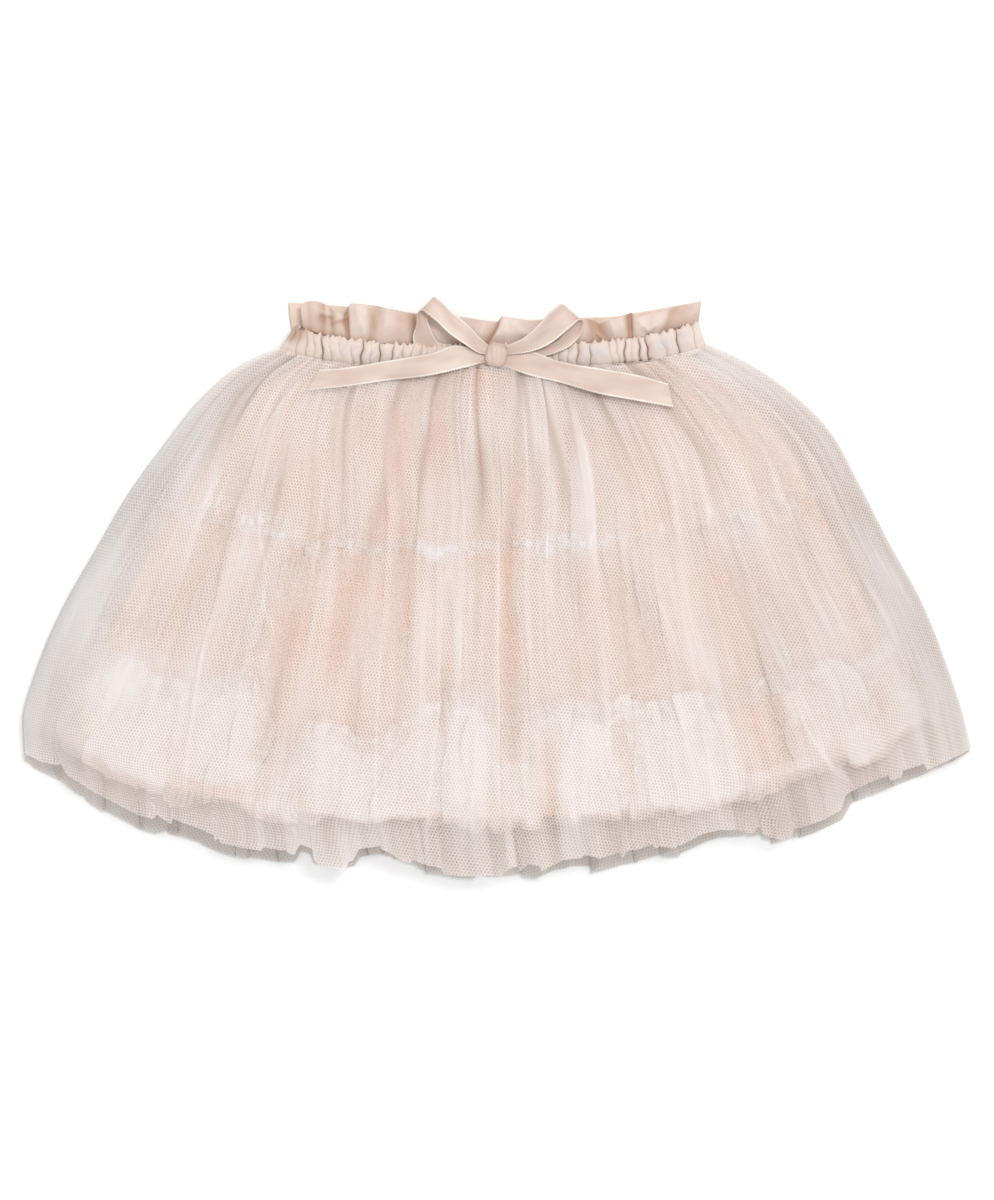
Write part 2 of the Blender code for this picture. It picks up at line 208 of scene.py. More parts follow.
# Painted shade for the cotton's hollows, and a painted grey sheen for the casing's puffs that also greys
# the painted shade at the front casing's left end.
COTTON_PAINTED_SHADE = "#A67A5A"
COTTON_PAINTED_SHEEN_AND_SHADE = "#C4BDBE"
# Painted shade on the ribbon.
RIBBON_PAINTED_SHADE = "#A17A5E"


def woven_cotton(name, dye, shade, roughness):
    """Plain woven cloth with slubs: an uneven dye, a fine crossed weave and a dry nap. Painted shade and a
    painted grey sheen are mixed into its colour where its attributes give them.
    """
    material = new_material(name)
    place = add(material, "UVMap")
    slubs = add(material, "TexNoise", {"Scale": 260.0, "Detail": 2.0}, {"Vector": place.outputs["UV"]})
    mottle = add(material, "TexNoise", {"Scale": 22.0, "Detail": 3.0}, {"Vector": place.outputs["UV"]})
    uneven = {0: slubs.outputs["Fac"], 1: mottle.outputs["Fac"]}
    both = add(material, "Math", {"operation": "MULTIPLY"}, uneven)
    share = add(material, "MapRange", {1: 0.12, 2: 0.42}, {0: both.outputs[0]})
    dyes = {"data_type": "RGBA", 6: linear(shade), 7: linear(dye)}
    colour = add(material, "Mix", dyes, {0: share.outputs[0]})
    # Painted shade and a painted grey sheen, each mixed in by an attribute.
    for kind, tint in (("deep", COTTON_PAINTED_SHADE), ("cool", COTTON_PAINTED_SHEEN_AND_SHADE)):
        amount = add(material, "Attribute", {"attribute_name": kind})
        tinted = {"data_type": "RGBA", 7: linear(tint)}
        colour = add(material, "Mix", tinted, {0: amount.outputs["Fac"], 6: colour.outputs[2]})
    threads = None
    for way in ((TURN / (THREAD_SPACING * MM), 0.0, 0.0), (0.0, TURN / (THREAD_SPACING * MM), 0.0)):
        along = add(material, "VectorMath", {"operation": "DOT_PRODUCT", 1: way}, {0: place.outputs["UV"]})
        wave = add(material, "Math", {"operation": "SINE"}, {0: along.outputs["Value"]})
        if threads is not None:
            crossed = {0: threads.outputs[0], 1: wave.outputs[0]}
            wave = add(material, "Math", {"operation": "MULTIPLY"}, crossed)
        threads = wave
    relief = add(material, "Bump", {"Strength": 0.15, "Distance": 0.0001}, {"Height": threads.outputs[0]})
    cloth = add(
        material, "BsdfPrincipled",
        {"Roughness": roughness, "Sheen Weight": 0.2, "Sheen Roughness": 0.5, "Specular IOR Level": 0.3},
        {"Base Color": colour.outputs[2], "Normal": relief.outputs[0]},
    )
    add(material, "OutputMaterial", {}, {"Surface": cloth.outputs[0]})
    return material


# Satin ribbon with a picot edge: long floats run along it, so it has a soft gloss across its length, and
# its selvedges are paler. Soft streaks of painted shade stand in for its changing gloss, and painted shade
# darkens it where it turns in.
RIBBON_WIDTH = 10.0
SELVEDGE = 0.7


def satin(name, dye, selvedge):
    """Ribbon satin, with selvedge as the colour of its two edges."""
    material = new_material(name)
    place = add(material, "UVMap")
    half = RIBBON_WIDTH * MM / 2.0
    apart = add(material, "SeparateXYZ", {}, {0: place.outputs["UV"]})
    centred = add(material, "Math", {"operation": "SUBTRACT", 1: half}, {0: apart.outputs[1]})
    out = add(material, "Math", {"operation": "ABSOLUTE"}, {0: centred.outputs[0]})
    edges = {1: half - SELVEDGE * MM, 2: half - SELVEDGE * MM * 0.4}
    edge = add(material, "MapRange", edges, {0: out.outputs[0]})
    noises = []
    for scale, detail in (((90.0, 1400.0, 1.0), 3.0), ((45.0, 170.0, 1.0), 1.0)):
        drawn = add(material, "Mapping", {"Scale": scale}, {"Vector": place.outputs["UV"]})
        noise = {"Scale": 1.0, "Detail": detail}
        noises.append(add(material, "TexNoise", noise, {"Vector": drawn.outputs[0]}).outputs["Fac"])
    floats, waves = noises
    # Soft streaks of painted shade, standing in for the satin's changing gloss.
    soft = add(material, "MapRange", {1: 0.35, 2: 0.7, 3: 0.0, 4: 0.3}, {0: waves})
    # Painted shade where the ribbon turns in, given along it.
    turned = add(material, "Attribute", {"attribute_name": "deep"})
    sums = {0: soft.outputs[0], 1: turned.outputs["Fac"]}
    shaded = add(material, "Math", {"operation": "ADD", "use_clamp": True}, sums)
    dyes = {"data_type": "RGBA", 6: linear(dye), 7: linear(selvedge)}
    colour = add(material, "Mix", dyes, {0: edge.outputs[0]})
    tinted = {"data_type": "RGBA", 7: linear(RIBBON_PAINTED_SHADE)}
    colour = add(material, "Mix", tinted, {0: shaded.outputs[0], 6: colour.outputs[2]})
    relief = add(material, "Bump", {"Strength": 0.1, "Distance": 0.00008}, {"Height": floats})
    cloth = add(
        material, "BsdfPrincipled",
        {"Roughness": 0.42, "Specular IOR Level": 0.45, "Sheen Weight": 0.15},
        {"Base Color": colour.outputs[2], "Normal": relief.outputs[0]},
    )
    add(material, "OutputMaterial", {}, {"Surface": cloth.outputs[0]})
    return material


OVERLAY_NET = nylon_tulle("blush nylon tulle", "#FCF4F0", "#F8E6DD", 0.61, 0.305, 8.0, 0.22, 0.05)
# The back overlay is the same blush tulle as the front, darkened with painted shade where it lies under
# the rest of the skirt.
OVERLAY_BACK_NET_PAINTED_SHADE = nylon_tulle("blush nylon tulle, back", "#DAD0C9", "#D2C8C0", 0.82, 0.62, -14.0)
TIER_NET = nylon_tulle("ivory nylon tulle", "#FEFAF8", "#FAEFE9", 0.60, 0.44, 38.0)
FRILL_NET = nylon_tulle("ivory nylon tulle, frill", "#FFFEFD", "#FEFAF8", 0.92, 0.78, 35.0)
LINING_COTTON = woven_cotton("peach cotton lawn", "#FAD3BC", "#F2C5AC", 0.9)
WAIST_COTTON = woven_cotton("pale peach cotton lawn", "#E2D1C7", "#D9C6BA", 0.5)
BACK_COTTON = woven_cotton("cotton lawn, wrong side", "#F3E2D2", "#EAD5C3", 0.7)
RIBBON_SATIN = satin("beige peach satin", "#D2BEB2", "#EFE6DE")


# ---------------------------------------------------------------- the lay of the skirt

def mix(a, b, share):
    return a + (b - a) * share


def clamp(value):
    return np.clip(value, 0.0, 1.0)


def bell(off):
    """A bump of height 1, with off as the distance from its middle over its half width."""
    return np.exp(-off * off)


def grid(*values):
    """Arrays that broadcast to one shape, joined place by place."""
    return np.stack(np.broadcast_arrays(*values), axis=-1)


def smoothstep(low, high, value):
    share = clamp((value - low) / (high - low))
    return share * share * (3.0 - 2.0 * share)


def smooth_through(places, values, at):
    """A smooth curve through a table's values (cubic Hermite), read at the given places."""
    places, values = np.asarray(places, float), np.asarray(values, float)
    slopes = np.gradient(values, places)
    i = np.clip(np.searchsorted(places, at) - 1, 0, len(places) - 2)
    span = places[i + 1] - places[i]
    t = (at - places[i]) / span
    start, end = values[i], values[i + 1]
    leaving = slopes[i] * span - (end - start)
    arriving = (end - start) - slopes[i + 1] * span
    bend = t * (1.0 - t) * ((1.0 - t) * leaving + t * arriving)
    return start + (end - start) * t + bend


def plan(across, drop):
    """The place in plan of points on the skirt."""
    left_x, left_y, right_x, right_y = (
        smooth_through(OUTLINE[:, 0], OUTLINE[:, i], drop) for i in (1, 2, 3, 4)
    )
    side = 2.0 * across - 1.0
    open_power = np.where(side < 0.0, SAG_POWER_LEFT, SAG_POWER_RIGHT)
    power = mix(SAG_POWER_WAIST, open_power, np.minimum(1.0, drop / SAG_POWER_DROP))
    sag = SAG_AT_WAIST + SAG_GROWTH * drop + SAG_EASE * drop * drop
    hang = sag * (1.0 - np.abs(side) ** power)
    return mix(left_x, right_x, across), mix(left_y, right_y, across) - hang


def puff(drop):
    """How full the skirt is at this drop: 0 at the waist seam, 1 where it is fullest."""
    past = clamp((drop - FULLEST_DROP) / (1.0 - FULLEST_DROP))
    rising = np.sin(TURN / 4.0 * clamp(drop / FULLEST_DROP)) ** PUFF_POWER
    return rising * mix(1.0, HEM_PUFF, past * past)


def layer_height(layer, across, drop):
    """The height of the middle of a layer's wall."""
    full = puff(drop)
    dome = np.sqrt(clamp(1.0 - np.abs(2.0 * across - 1.0) ** SIDE_ROUNDNESS))
    edge = mix(layer.edge_waist, layer.edge_full, full**SIDE_PUFF_POWER)
    middle = mix(layer.middle_waist, layer.middle_full, full)
    return mix(edge, middle, dome) + NET_WALL / 2.0


# ---------------------------------------------------------------- meshes

def sheet_from(name, points, spread, material, up=True, **attributes):
    """A sheet through a grid of points in millimetres, with its flat cloth's places as UV in metres."""
    rows, columns = points.shape[:2]
    data = bpy.data.meshes.new(name)
    number = np.arange(rows * columns).reshape(rows, columns)
    a, b, c, d = number[:-1, :-1], number[1:, :-1], number[1:, 1:], number[:-1, 1:]
    corners = np.stack((a, b, c, d) if up else (a, d, c, b), axis=-1).reshape(-1, 4)
    data.from_pydata((points * MM).reshape(-1, 3).tolist(), [], corners.tolist())
    layer = data.uv_layers.new(name="cloth")
    flat = spread.reshape(-1, 2)[corners.reshape(-1)] * MM
    layer.data.foreach_set("uv", flat.astype(np.float32).ravel())
    for kind, values in attributes.items():
        values = np.broadcast_to(values, (rows, columns))
        layer = data.attributes.new(kind, "FLOAT", "POINT")
        layer.data.foreach_set("value", values.astype(np.float32).ravel())
    data.shade_smooth()
    data.materials.append(material)
    made = bpy.data.objects.new(name, data)
    bpy.context.scene.collection.objects.link(made)
    return made


def run_along(points):
    """How far along a row each of its points is."""
    return np.concatenate([[0.0], np.cumsum(np.linalg.norm(np.diff(points, axis=0), axis=1))])


def hollow(height, reach):
    """How far each place lies below the mean height along its row, so many columns to each side."""
    padded = np.pad(height, ((0, 0), (reach, reach)), mode="edge")
    run = np.cumsum(np.pad(padded, ((0, 0), (1, 0))), axis=1)
    mean = (run[:, 2 * reach + 1 :] - run[:, : -2 * reach - 1]) / (2 * reach + 1)
    return np.clip(mean - height, 0.0, None)


def thicken(piece, thickness):
    """Gives a sheet its cloth's real thickness, half of it to each side."""
    bpy.ops.object.select_all(action="DESELECT")
    piece.select_set(True)
    bpy.context.view_layer.objects.active = piece
    bpy.ops.object.modifier_add(type="SOLIDIFY")
    wall = piece.modifiers[-1]
    wall.thickness = thickness * MM
    wall.offset = 0.0
    bpy.ops.object.modifier_apply(modifier=wall.name)
    return piece


def finish_piece(piece, node):
    """Puts a piece in its solid's place."""
    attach(piece, BODY)
    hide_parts(node)


# ---------------------------------------------------------------- folds

# A fold is a place where the net doubles back on itself. Its places across are at the waist, at the upper
# third, at the lower third and at the hem. Its half width and the cloth it takes up are in millimetres.
# It leans to the right (1) or the left (-1), and it lasts from one drop to another.
Fold = namedtuple("Fold", "waist upper lower hem width takes lean start end", defaults=(-1.0, 2.0))
FOLD_DROPS = (0.0, 0.33, 0.66, 1.0)
OVERLAY_FOLDS = tuple(Fold(*row) for row in (
    (0.02, 0.04, 0.045, 0.042, 3.4, 1.1, 1), (0.05, 0.1, 0.108, 0.104, 3.9, 1.7, -1),
    (0.088, 0.142, 0.158, 0.156, 3.4, 2.2, 1), (0.125, 0.196, 0.212, 0.208, 4.1, 1.7, -1, 0.1),
    (0.16, 0.236, 0.252, 0.25, 3.4, 1.3, 1, -1.0, 0.7), (0.2, 0.284, 0.304, 0.309, 4.4, 2.6, -1),
    (0.24, 0.314, 0.34, 0.346, 2.8, 1.5, 1, -1.0, 0.6), (0.275, 0.346, 0.368, 0.378, 3.2, 2.2, -1, 0.3),
    (0.33, 0.392, 0.414, 0.424, 4.6, 2.8, 1), (0.385, 0.424, 0.438, 0.44, 2.5, 1.7, -1, 0.2),
    (0.425, 0.455, 0.464, 0.468, 4.8, 2.8, 1, -1.0, 0.8),
    (0.462, 0.484, 0.49, 0.492, 2.3, 1.5, -1, -1.0, 0.5), (0.5, 0.508, 0.51, 0.512, 2.5, 1.7, 1),
    (0.568, 0.542, 0.545, 0.546, 2.5, 1.7, -1, 0.1, 0.8), (0.605, 0.574, 0.572, 0.57, 3.7, 2.6, 1),
    (0.628, 0.602, 0.6, 0.598, 2.8, 1.5, -1, 0.1, 0.6), (0.655, 0.64, 0.636, 0.632, 4.4, 2.2, 1, 0.2),
    (0.682, 0.672, 0.67, 0.67, 3.0, 1.5, -1), (0.706, 0.71, 0.708, 0.714, 4.6, 2.6, 1, -1.0, 0.85),
    (0.755, 0.745, 0.745, 0.754, 3.0, 1.5, -1, 0.25), (0.8, 0.784, 0.788, 0.8, 3.4, 1.5, 1, -1.0, 0.6),
    (0.845, 0.824, 0.836, 0.847, 3.0, 2.2, -1, 0.3), (0.88, 0.862, 0.874, 0.886, 3.7, 1.5, 1, 0.0, 0.7),
    (0.93, 0.905, 0.916, 0.926, 3.4, 1.7, -1), (0.96, 0.945, 0.95, 0.956, 3.4, 1.3, 1),
))

# How the gathers fan out from the waist, in the same four places: both sides, one gather in the middle and
# the main folds.
FLOW_FOLDS = (1, 3, 5, 7, 8, 9, 11, 14, 16, 18, 20, 22, 24)
FLOW = np.array(sorted((
    (0.0, 0.0, 0.0, 0.0), (0.545, 0.523, 0.525, 0.526), (1.0, 1.0, 1.0, 1.0),
    *(OVERLAY_FOLDS[i][:4] for i in FLOW_FOLDS),
)))

# A band is a strip placed like a fold where the net lies single and the lining shows (amount below 0), or
# where it is bunched and white (above 0). Its width is half its width in millimetres.
Band = namedtuple("Band", "waist upper lower hem width amount start end")
OVERLAY_BANDS = tuple(Band(*row) for row in (
    (0.545, 0.523, 0.525, 0.524, 4.0, -1.1, 0.05, 0.8), (0.575, 0.56, 0.566, 0.566, 2.6, -0.7, 0.15, 0.75),
    (0.745, 0.758, 0.764, 0.766, 5.0, -0.1, 0.28, 0.78), (0.87, 0.852, 0.862, 0.872, 4.5, -0.3, 0.38, 0.8),
    (0.075, 0.11, 0.12, 0.12, 5.0, -0.5, -0.1, 0.3), (0.11, 0.15, 0.16, 0.16, 8.0, -1.3, -0.2, 0.22),
    (0.19, 0.23, 0.24, 0.24, 8.0, -1.0, -0.2, 0.2), (0.87, 0.875, 0.88, 0.88, 10.0, -1.2, -0.2, 0.3),
    (0.96, 0.95, 0.95, 0.95, 7.0, -0.6, -0.2, 0.16), (0.785, 0.785, 0.795, 0.8, 5.0, -0.7, 0.42, 0.78),
    (0.888, 0.888, 0.89, 0.89, 5.0, -0.2, 0.5, 0.8), (0.958, 0.958, 0.958, 0.958, 6.0, -0.8, 0.7, 0.95),
    (0.57, 0.57, 0.568, 0.566, 4.0, -1.2, 0.7, 1.05), (0.325, 0.325, 0.325, 0.325, 4.0, -1.0, 0.85, 1.1),
    (0.8, 0.804, 0.806, 0.806, 7.0, -0.7, 0.36, 0.66), (0.38, 0.39, 0.39, 0.39, 14.0, -0.4, 0.1, 0.42),
    (0.66, 0.66, 0.66, 0.66, 38.0, -1.0, 0.86, 1.3), (0.88, 0.88, 0.88, 0.88, 13.0, -0.9, 0.84, 1.3),
    (0.822, 0.822, 0.822, 0.828, 7.0, -0.3, 0.66, 0.94),
    (0.655, 0.655, 0.661, 0.666, 2.6, -0.8, 0.7, 0.96), (0.472, 0.472, 0.472, 0.472, 9.0, 0.4, 0.66, 0.92),
    (0.275, 0.31, 0.315, 0.315, 6.0, 0.5, -0.1, 0.34), (0.35, 0.36, 0.355, 0.355, 5.0, -0.2, 0.05, 0.4),
    (0.43, 0.436, 0.44, 0.44, 5.0, 0.4, 0.0, 0.34), (0.185, 0.185, 0.185, 0.185, 14.0, -0.6, 0.84, 1.04),
    (0.072, 0.072, 0.072, 0.072, 10.0, 0.6, 0.36, 0.66),
    (0.465, 0.479, 0.484, 0.484, 2.2, -1.2, -0.1, 0.38), (0.4, 0.386, 0.376, 0.376, 2.6, -0.6, -0.1, 0.62),
    (0.345, 0.328, 0.322, 0.322, 3.2, -0.9, -0.1, 0.48),
    (0.582, 0.598, 0.604, 0.604, 2.2, -0.8, 0.02, 0.42), (0.69, 0.718, 0.73, 0.73, 2.6, -0.1, 0.02, 0.45),
    (0.94, 0.909, 0.905, 0.905, 3.0, -0.5, 0.05, 0.5), (0.8, 0.806, 0.811, 0.822, 3.2, -1.2, 0.42, 0.92),
    (0.746, 0.716, 0.7, 0.7, 2.8, -0.1, 0.0, 0.45), (0.626, 0.606, 0.6, 0.6, 2.0, -0.6, 0.0, 0.35),
    (0.293, 0.366, 0.392, 0.396, 3.0, -0.7, 0.02, 0.8),
    (0.185, 0.238, 0.253, 0.238, 3.8, -1.4, 0.34, 0.87),
    (0.275, 0.275, 0.275, 0.275, 7.0, 0.7, 0.38, 0.68), (0.2, 0.262, 0.266, 0.25, 2.4, -0.3, 0.3, 0.8),
    (0.42, 0.44, 0.444, 0.446, 2.6, -0.7, 0.55, 0.95), (0.64, 0.655, 0.655, 0.655, 3.6, -0.3, 0.4, 0.9),
    (0.33, 0.34, 0.345, 0.35, 3.4, -0.6, 0.5, 0.85), (0.578, 0.57, 0.574, 0.574, 2.6, 0.7, 0.08, 0.7),
    (0.44, 0.462, 0.47, 0.47, 4.4, 0.6, 0.0, 0.6), (0.61, 0.575, 0.571, 0.57, 3.0, 0.5, 0.0, 0.9),
    (0.696, 0.708, 0.716, 0.72, 4.0, 0.6, 0.0, 0.9), (0.159, 0.268, 0.305, 0.31, 4.6, 0.6, 0.0, 0.95),
    (0.053, 0.15, 0.158, 0.154, 6.0, 0.5, 0.05, 0.95), (0.37, 0.393, 0.42, 0.426, 4.4, 0.6, 0.05, 0.9),
    (0.5, 0.505, 0.506, 0.508, 3.0, 0.7, 0.05, 0.95), (0.66, 0.64, 0.64, 0.64, 5.0, 0.5, 0.1, 0.7),
    (0.812, 0.812, 0.829, 0.874, 1.0, 1.1, 0.46, 1.1), (0.115, 0.136, 0.167, 0.178, 0.9, 0.8, 0.05, 1.0),
    (0.103, 0.17, 0.262, 0.29, 0.8, 0.8, 0.15, 0.7), (0.34, 0.355, 0.371, 0.38, 0.8, 0.8, 0.48, 1.0),
    (0.45, 0.445, 0.44, 0.429, 0.8, 0.8, 0.6, 1.05), (0.495, 0.503, 0.507, 0.51, 0.8, 0.7, 0.02, 1.0),
    (0.56, 0.541, 0.545, 0.55, 0.7, 0.7, 0.1, 0.7),
))
FOLD_HEIGHT = 0.40
FULL_WIDTH = 470.0
FOLD_NARROWING = 0.7
GATHER_GAIN = 0.22
CLOSER_AT_WAIST = 1.18
STEEP_GAIN = 0.16
STEEP_FROM = 1.3
# The most painted shade that the net takes.
DARKEST_PAINTED_SHADE = 0.85
DEEP_CLOSES = 1.2
BRIGHT_CLOSES = 0.8
# The sides, where the net turns under, are closer: by how much, over how many millimetres.
LEFT_CLOSES = (0.65, 22.0)
RIGHT_CLOSES = (0.3, 8.0)


def path(line, drop):
    """Where a fold or a band is at each drop."""
    return smooth_through(FOLD_DROPS, (line.waist, line.upper, line.lower, line.hem), drop)


def gather_at(across, drop):
    """Which gather a place belongs to, named by its place across at the upper third."""
    across, drop = np.broadcast_arrays(across, drop)
    lines = np.array([smooth_through(FOLD_DROPS, row, drop[:, 0]) for row in FLOW])
    return np.array([np.interp(row, line, FLOW[:, 1]) for row, line in zip(across, lines.T)])


def grain(seed, wide, long, place, drop):
    """Smooth uneven values from -1 to 1, so many cells across and down, drawn out along the gathers."""
    chance = np.random.default_rng(seed)
    values = chance.uniform(-1.0, 1.0, (long + 3, wide + 2))
    phase = chance.uniform(0.0, 1.0, wide + 2)
    cell = np.floor(place * wide).astype(int)
    blend = smoothstep(0.0, 1.0, place * wide - cell)
    sides = []
    for column in (cell, cell + 1):
        down = clamp(drop) * long + phase[column]
        row = np.floor(down).astype(int)
        sides.append(mix(values[row, column], values[row + 1, column], smoothstep(0.0, 1.0, down - row)))
    return mix(*sides, blend)


def lasting(line, drop):
    """How far a fold or a band is there at each drop, 0 to 1: it begins and ends gently."""
    begun = smoothstep(line.start, line.start + 0.10, drop)
    return begun * (1.0 - smoothstep(line.end - 0.16, line.end, drop))


def wandering(chance, place, drift):
    """Four places of a line that runs with the gathers, give or take a little."""
    shifts = chance.uniform(-drift, drift, 4) * (1.0, 0.6, 0.8, 1.0)
    return (float(clamp(np.interp(place, FLOW[:, 1], FLOW[:, i]) + shifts[i])) for i in range(4))


def scattered_folds(count, seed, width, takes, first=0.0, last=1.0):
    """Folds uneven in place, size and length between two drops."""
    chance = np.random.default_rng(seed)
    found = []
    for i in range(count):
        size = chance.uniform(0.5, 1.6)
        start = chance.uniform(-0.6, 0.8) * (last - first) + first
        long = chance.uniform(0.35, 1.2) * (last - first)
        places = wandering(chance, (i + chance.uniform(0.2, 0.8)) / count, 0.25 / count)
        taken = takes * size * chance.uniform(0.7, 1.3)
        found.append(Fold(*places, width * size, taken, chance.choice((-1, 1)), start, start + long))
    return found


def scattered_bands(count, seed, width, amount, first=0.0, last=1.0, shortest=0.2):
    """Fine streaks, uneven in place, strength and length between two drops."""
    chance = np.random.default_rng(seed)
    found = []
    for i in range(count):
        start = chance.uniform(-0.3, 0.9) * (last - first) + first
        long = chance.uniform(shortest, 0.9) * (last - first)
        places = wandering(chance, (i + chance.uniform(0.0, 1.0)) / count, 0.006)
        wide = width * chance.uniform(0.5, 1.8)
        found.append(Band(*places, wide, amount * chance.uniform(0.3, 1.5), start, start + long))
    return found


def clouds(seed, count, width, height, amount, across, drop, row_width):
    """Soft uneven patches of closer and thinner net."""
    chance = np.random.default_rng(seed)
    total = 0.0
    for _ in range(count):
        off = (across - chance.uniform(0.0, 1.0)) * row_width / (width * chance.uniform(0.5, 1.6))
        down = (drop - chance.uniform(0.0, 1.0)) / (height * chance.uniform(0.5, 1.5))
        total += amount * chance.uniform(-1.0, 1.0) * np.exp(-off * off - down * down)
    return total


def veil(bands, across, drop, row_width, share=1.0):
    """How much closer the net is than where it lies single."""
    total = 0.0
    for band in bands:
        off = (across - path(band, drop)) * row_width / band.width
        total += share * band.amount * lasting(band, drop) * bell(off)
    return total


def folded_sheet(
    name, layer, folds, drops, columns, flat_width, material, closer, raised, shade_painter=None, brighter=None,
    waves=(), up=True, clear=0.0, ceiling=2.0,
):
    """A net layer laid in folds. At places across and drops, closer says how bunched the net is, raised
    how much higher it lies in plan, and the two after them how much shade is painted into its colour where
    little light reaches it and how much whiter it is made, for bunched net and for painted light."""
    drop = drops[:, None]
    across = np.linspace(0.0, 1.0, columns)[None, :]
    full = puff(drop)
    side = layer.side - NARROWER_AT_WAIST * (1.0 - full) if layer.side < 1.0 else np.ones_like(drop)
    left_x, right_x = (smooth_through(OUTLINE[:, 0], OUTLINE[:, i], drop) for i in (1, 3))
    row_width = (right_x - left_x) * side
    shift = np.zeros((len(drops), columns))
    rise = np.zeros_like(shift)
    for fold in folds:
        half = fold.width * (row_width / FULL_WIDTH) ** FOLD_NARROWING
        off = (across - path(fold, drop)) * row_width / half
        there = 0.8 * (1.0 - 0.3 * smoothstep(0.6, 0.85, drop)) * fold.takes * lasting(fold, drop)
        there = there * (row_width / FULL_WIDTH) ** 0.6
        shift -= there * off * np.exp(-off * off / 2.0) * 1.65
        crest = np.exp(-((off - fold.lean * 0.9) ** 2) / 4.5)
        rise += FOLD_HEIGHT * (1.0 + 0.9 * np.exp(-drop / 0.2)) * there * crest
    place = gather_at(across, drop)
    for seed, wide, long, high in waves:
        lively = high * (1.0 - 0.3 * full) * calm(across, drop)
        rise += lively * (grain(seed, wide, long, place, drop) + clear / 3.0)
    rise = ceiling * np.tanh((rise + clear * smoothstep(0.02, 0.3, drop)) / ceiling)
    edge = clamp(np.minimum(across, 1.0 - across) * row_width / 6.0)
    shown = clamp(across + edge * shift / row_width)
    x, y = plan(0.5 + (shown - 0.5) * side, drop)
    y = y + raised(across, drop)
    z = layer_height(layer, across, drop) + rise * edge
    points = grid(x, y, z)
    run = np.cumsum(np.linalg.norm(np.diff(points, axis=1, prepend=points[:, :1]), axis=2), axis=1)
    total = run[:, -1:]
    finer = mix(CLOSER_AT_WAIST, 1.0, smoothstep(0.0, 0.8, drop))
    spread = grid((run - total / 2.0) * finer, y)
    steep = np.gradient(run, axis=1) / np.maximum(np.abs(np.gradient(x, axis=1)), 0.05)
    gathered = GATHER_GAIN * np.clip(flat_width / total - 1.0, 0.0, None)
    gathered = gathered + STEEP_GAIN * np.clip(steep - STEEP_FROM, 0.0, 4.0)
    gathered = gathered + closer(across, drop, row_width)
    gathered = gathered + LEFT_CLOSES[0] * np.exp(-across * row_width / LEFT_CLOSES[1])
    gathered = gathered + RIGHT_CLOSES[0] * np.exp(-(1.0 - across) * row_width / RIGHT_CLOSES[1])
    # Painted shade, darkening the net's colour where little light reaches it.
    deep = np.clip(shade_painter(across, drop, row_width), 0.0, DARKEST_PAINTED_SHADE) if shade_painter else 0.0
    bright = clamp(brighter(across, drop, row_width)) if brighter else 0.0
    gathered = gathered + DEEP_CLOSES * deep + BRIGHT_CLOSES * bright
    return sheet_from(name, points, spread, material, up, gathered=gathered, deep=deep, bright=bright)


# ---------------------------------------------------------------- net layers

# How much higher the laid hem is than its smooth outline: share across, millimetres.
HEM = (
    (0.0, 0.0), (0.02, 2.0), (0.039, 6.0), (0.05, 2.0), (0.082, 0.6), (0.124, -0.4), (0.138, 0.5),
    (0.145, 6.0), (0.166, 4.1), (0.187, 3.7), (0.208, 1.9), (0.25, 3.2), (0.271, 3.3), (0.286, 4.0),
    (0.292, 10.0), (0.302, 9.0), (0.306, 4.3), (0.33, 3.5), (0.348, 4.0), (0.355, 10.3), (0.376, 12.5),
    (0.388, 11.0), (0.397, 7.5), (0.418, 3.6), (0.461, 0.2), (0.503, 0.0), (0.524, 3.3), (0.545, -0.5),
    (0.566, 3.5), (0.587, 3.3), (0.608, -0.6), (0.629, 1.8), (0.65, 2.5), (0.671, 5.4), (0.692, 2.2),
    (0.713, 5.7), (0.734, 6.9), (0.776, 3.7), (0.797, -2.8), (0.818, -4.0), (0.839, -4.0), (0.861, -2.8),
    (0.866, 4.0), (0.882, 4.2), (0.903, 3.4), (0.924, 2.9), (0.945, 1.5), (0.966, 0.9), (1.0, 0.0),
)
FRONT_HEM_UP = (
    (0.0, 4.0), (0.1, 6.5), (0.2, 6.0), (0.28, 4.5), (0.31, 2.5), (0.45, 2.0), (0.52, 2.5), (0.56, 6.0),
    (0.62, 7.5), (0.72, 6.5), (0.76, 4.0), (0.85, 3.0), (0.9, 5.0), (1.0, 3.0),
)


def steps(seed, count, reach):
    """Uneven short steps, as a raw cut edge makes where its cloth is folded: places and values to read."""
    chance = np.random.default_rng(seed)
    places = np.sort(chance.uniform(0.0, 1.0, count))
    places = np.repeat(places, 2) + np.tile((-0.0012, 0.0012), count)
    values = np.repeat(chance.uniform(-reach, reach, count + 1), 2)[1:-1]
    return places, values


def hem_of(seed, count, up, reach):
    """A raw hem with uneven steps, higher than its smooth outline by the table and by up."""
    places, heights = zip(*HEM)
    stepped = steps(seed, count, reach)

    def raised(across, drop):
        height = np.interp(across, places, heights) + np.interp(across, *stepped) + np.interp(across, *up)
        return height * smoothstep(0.78, 1.0, drop) ** 1.5

    return raised


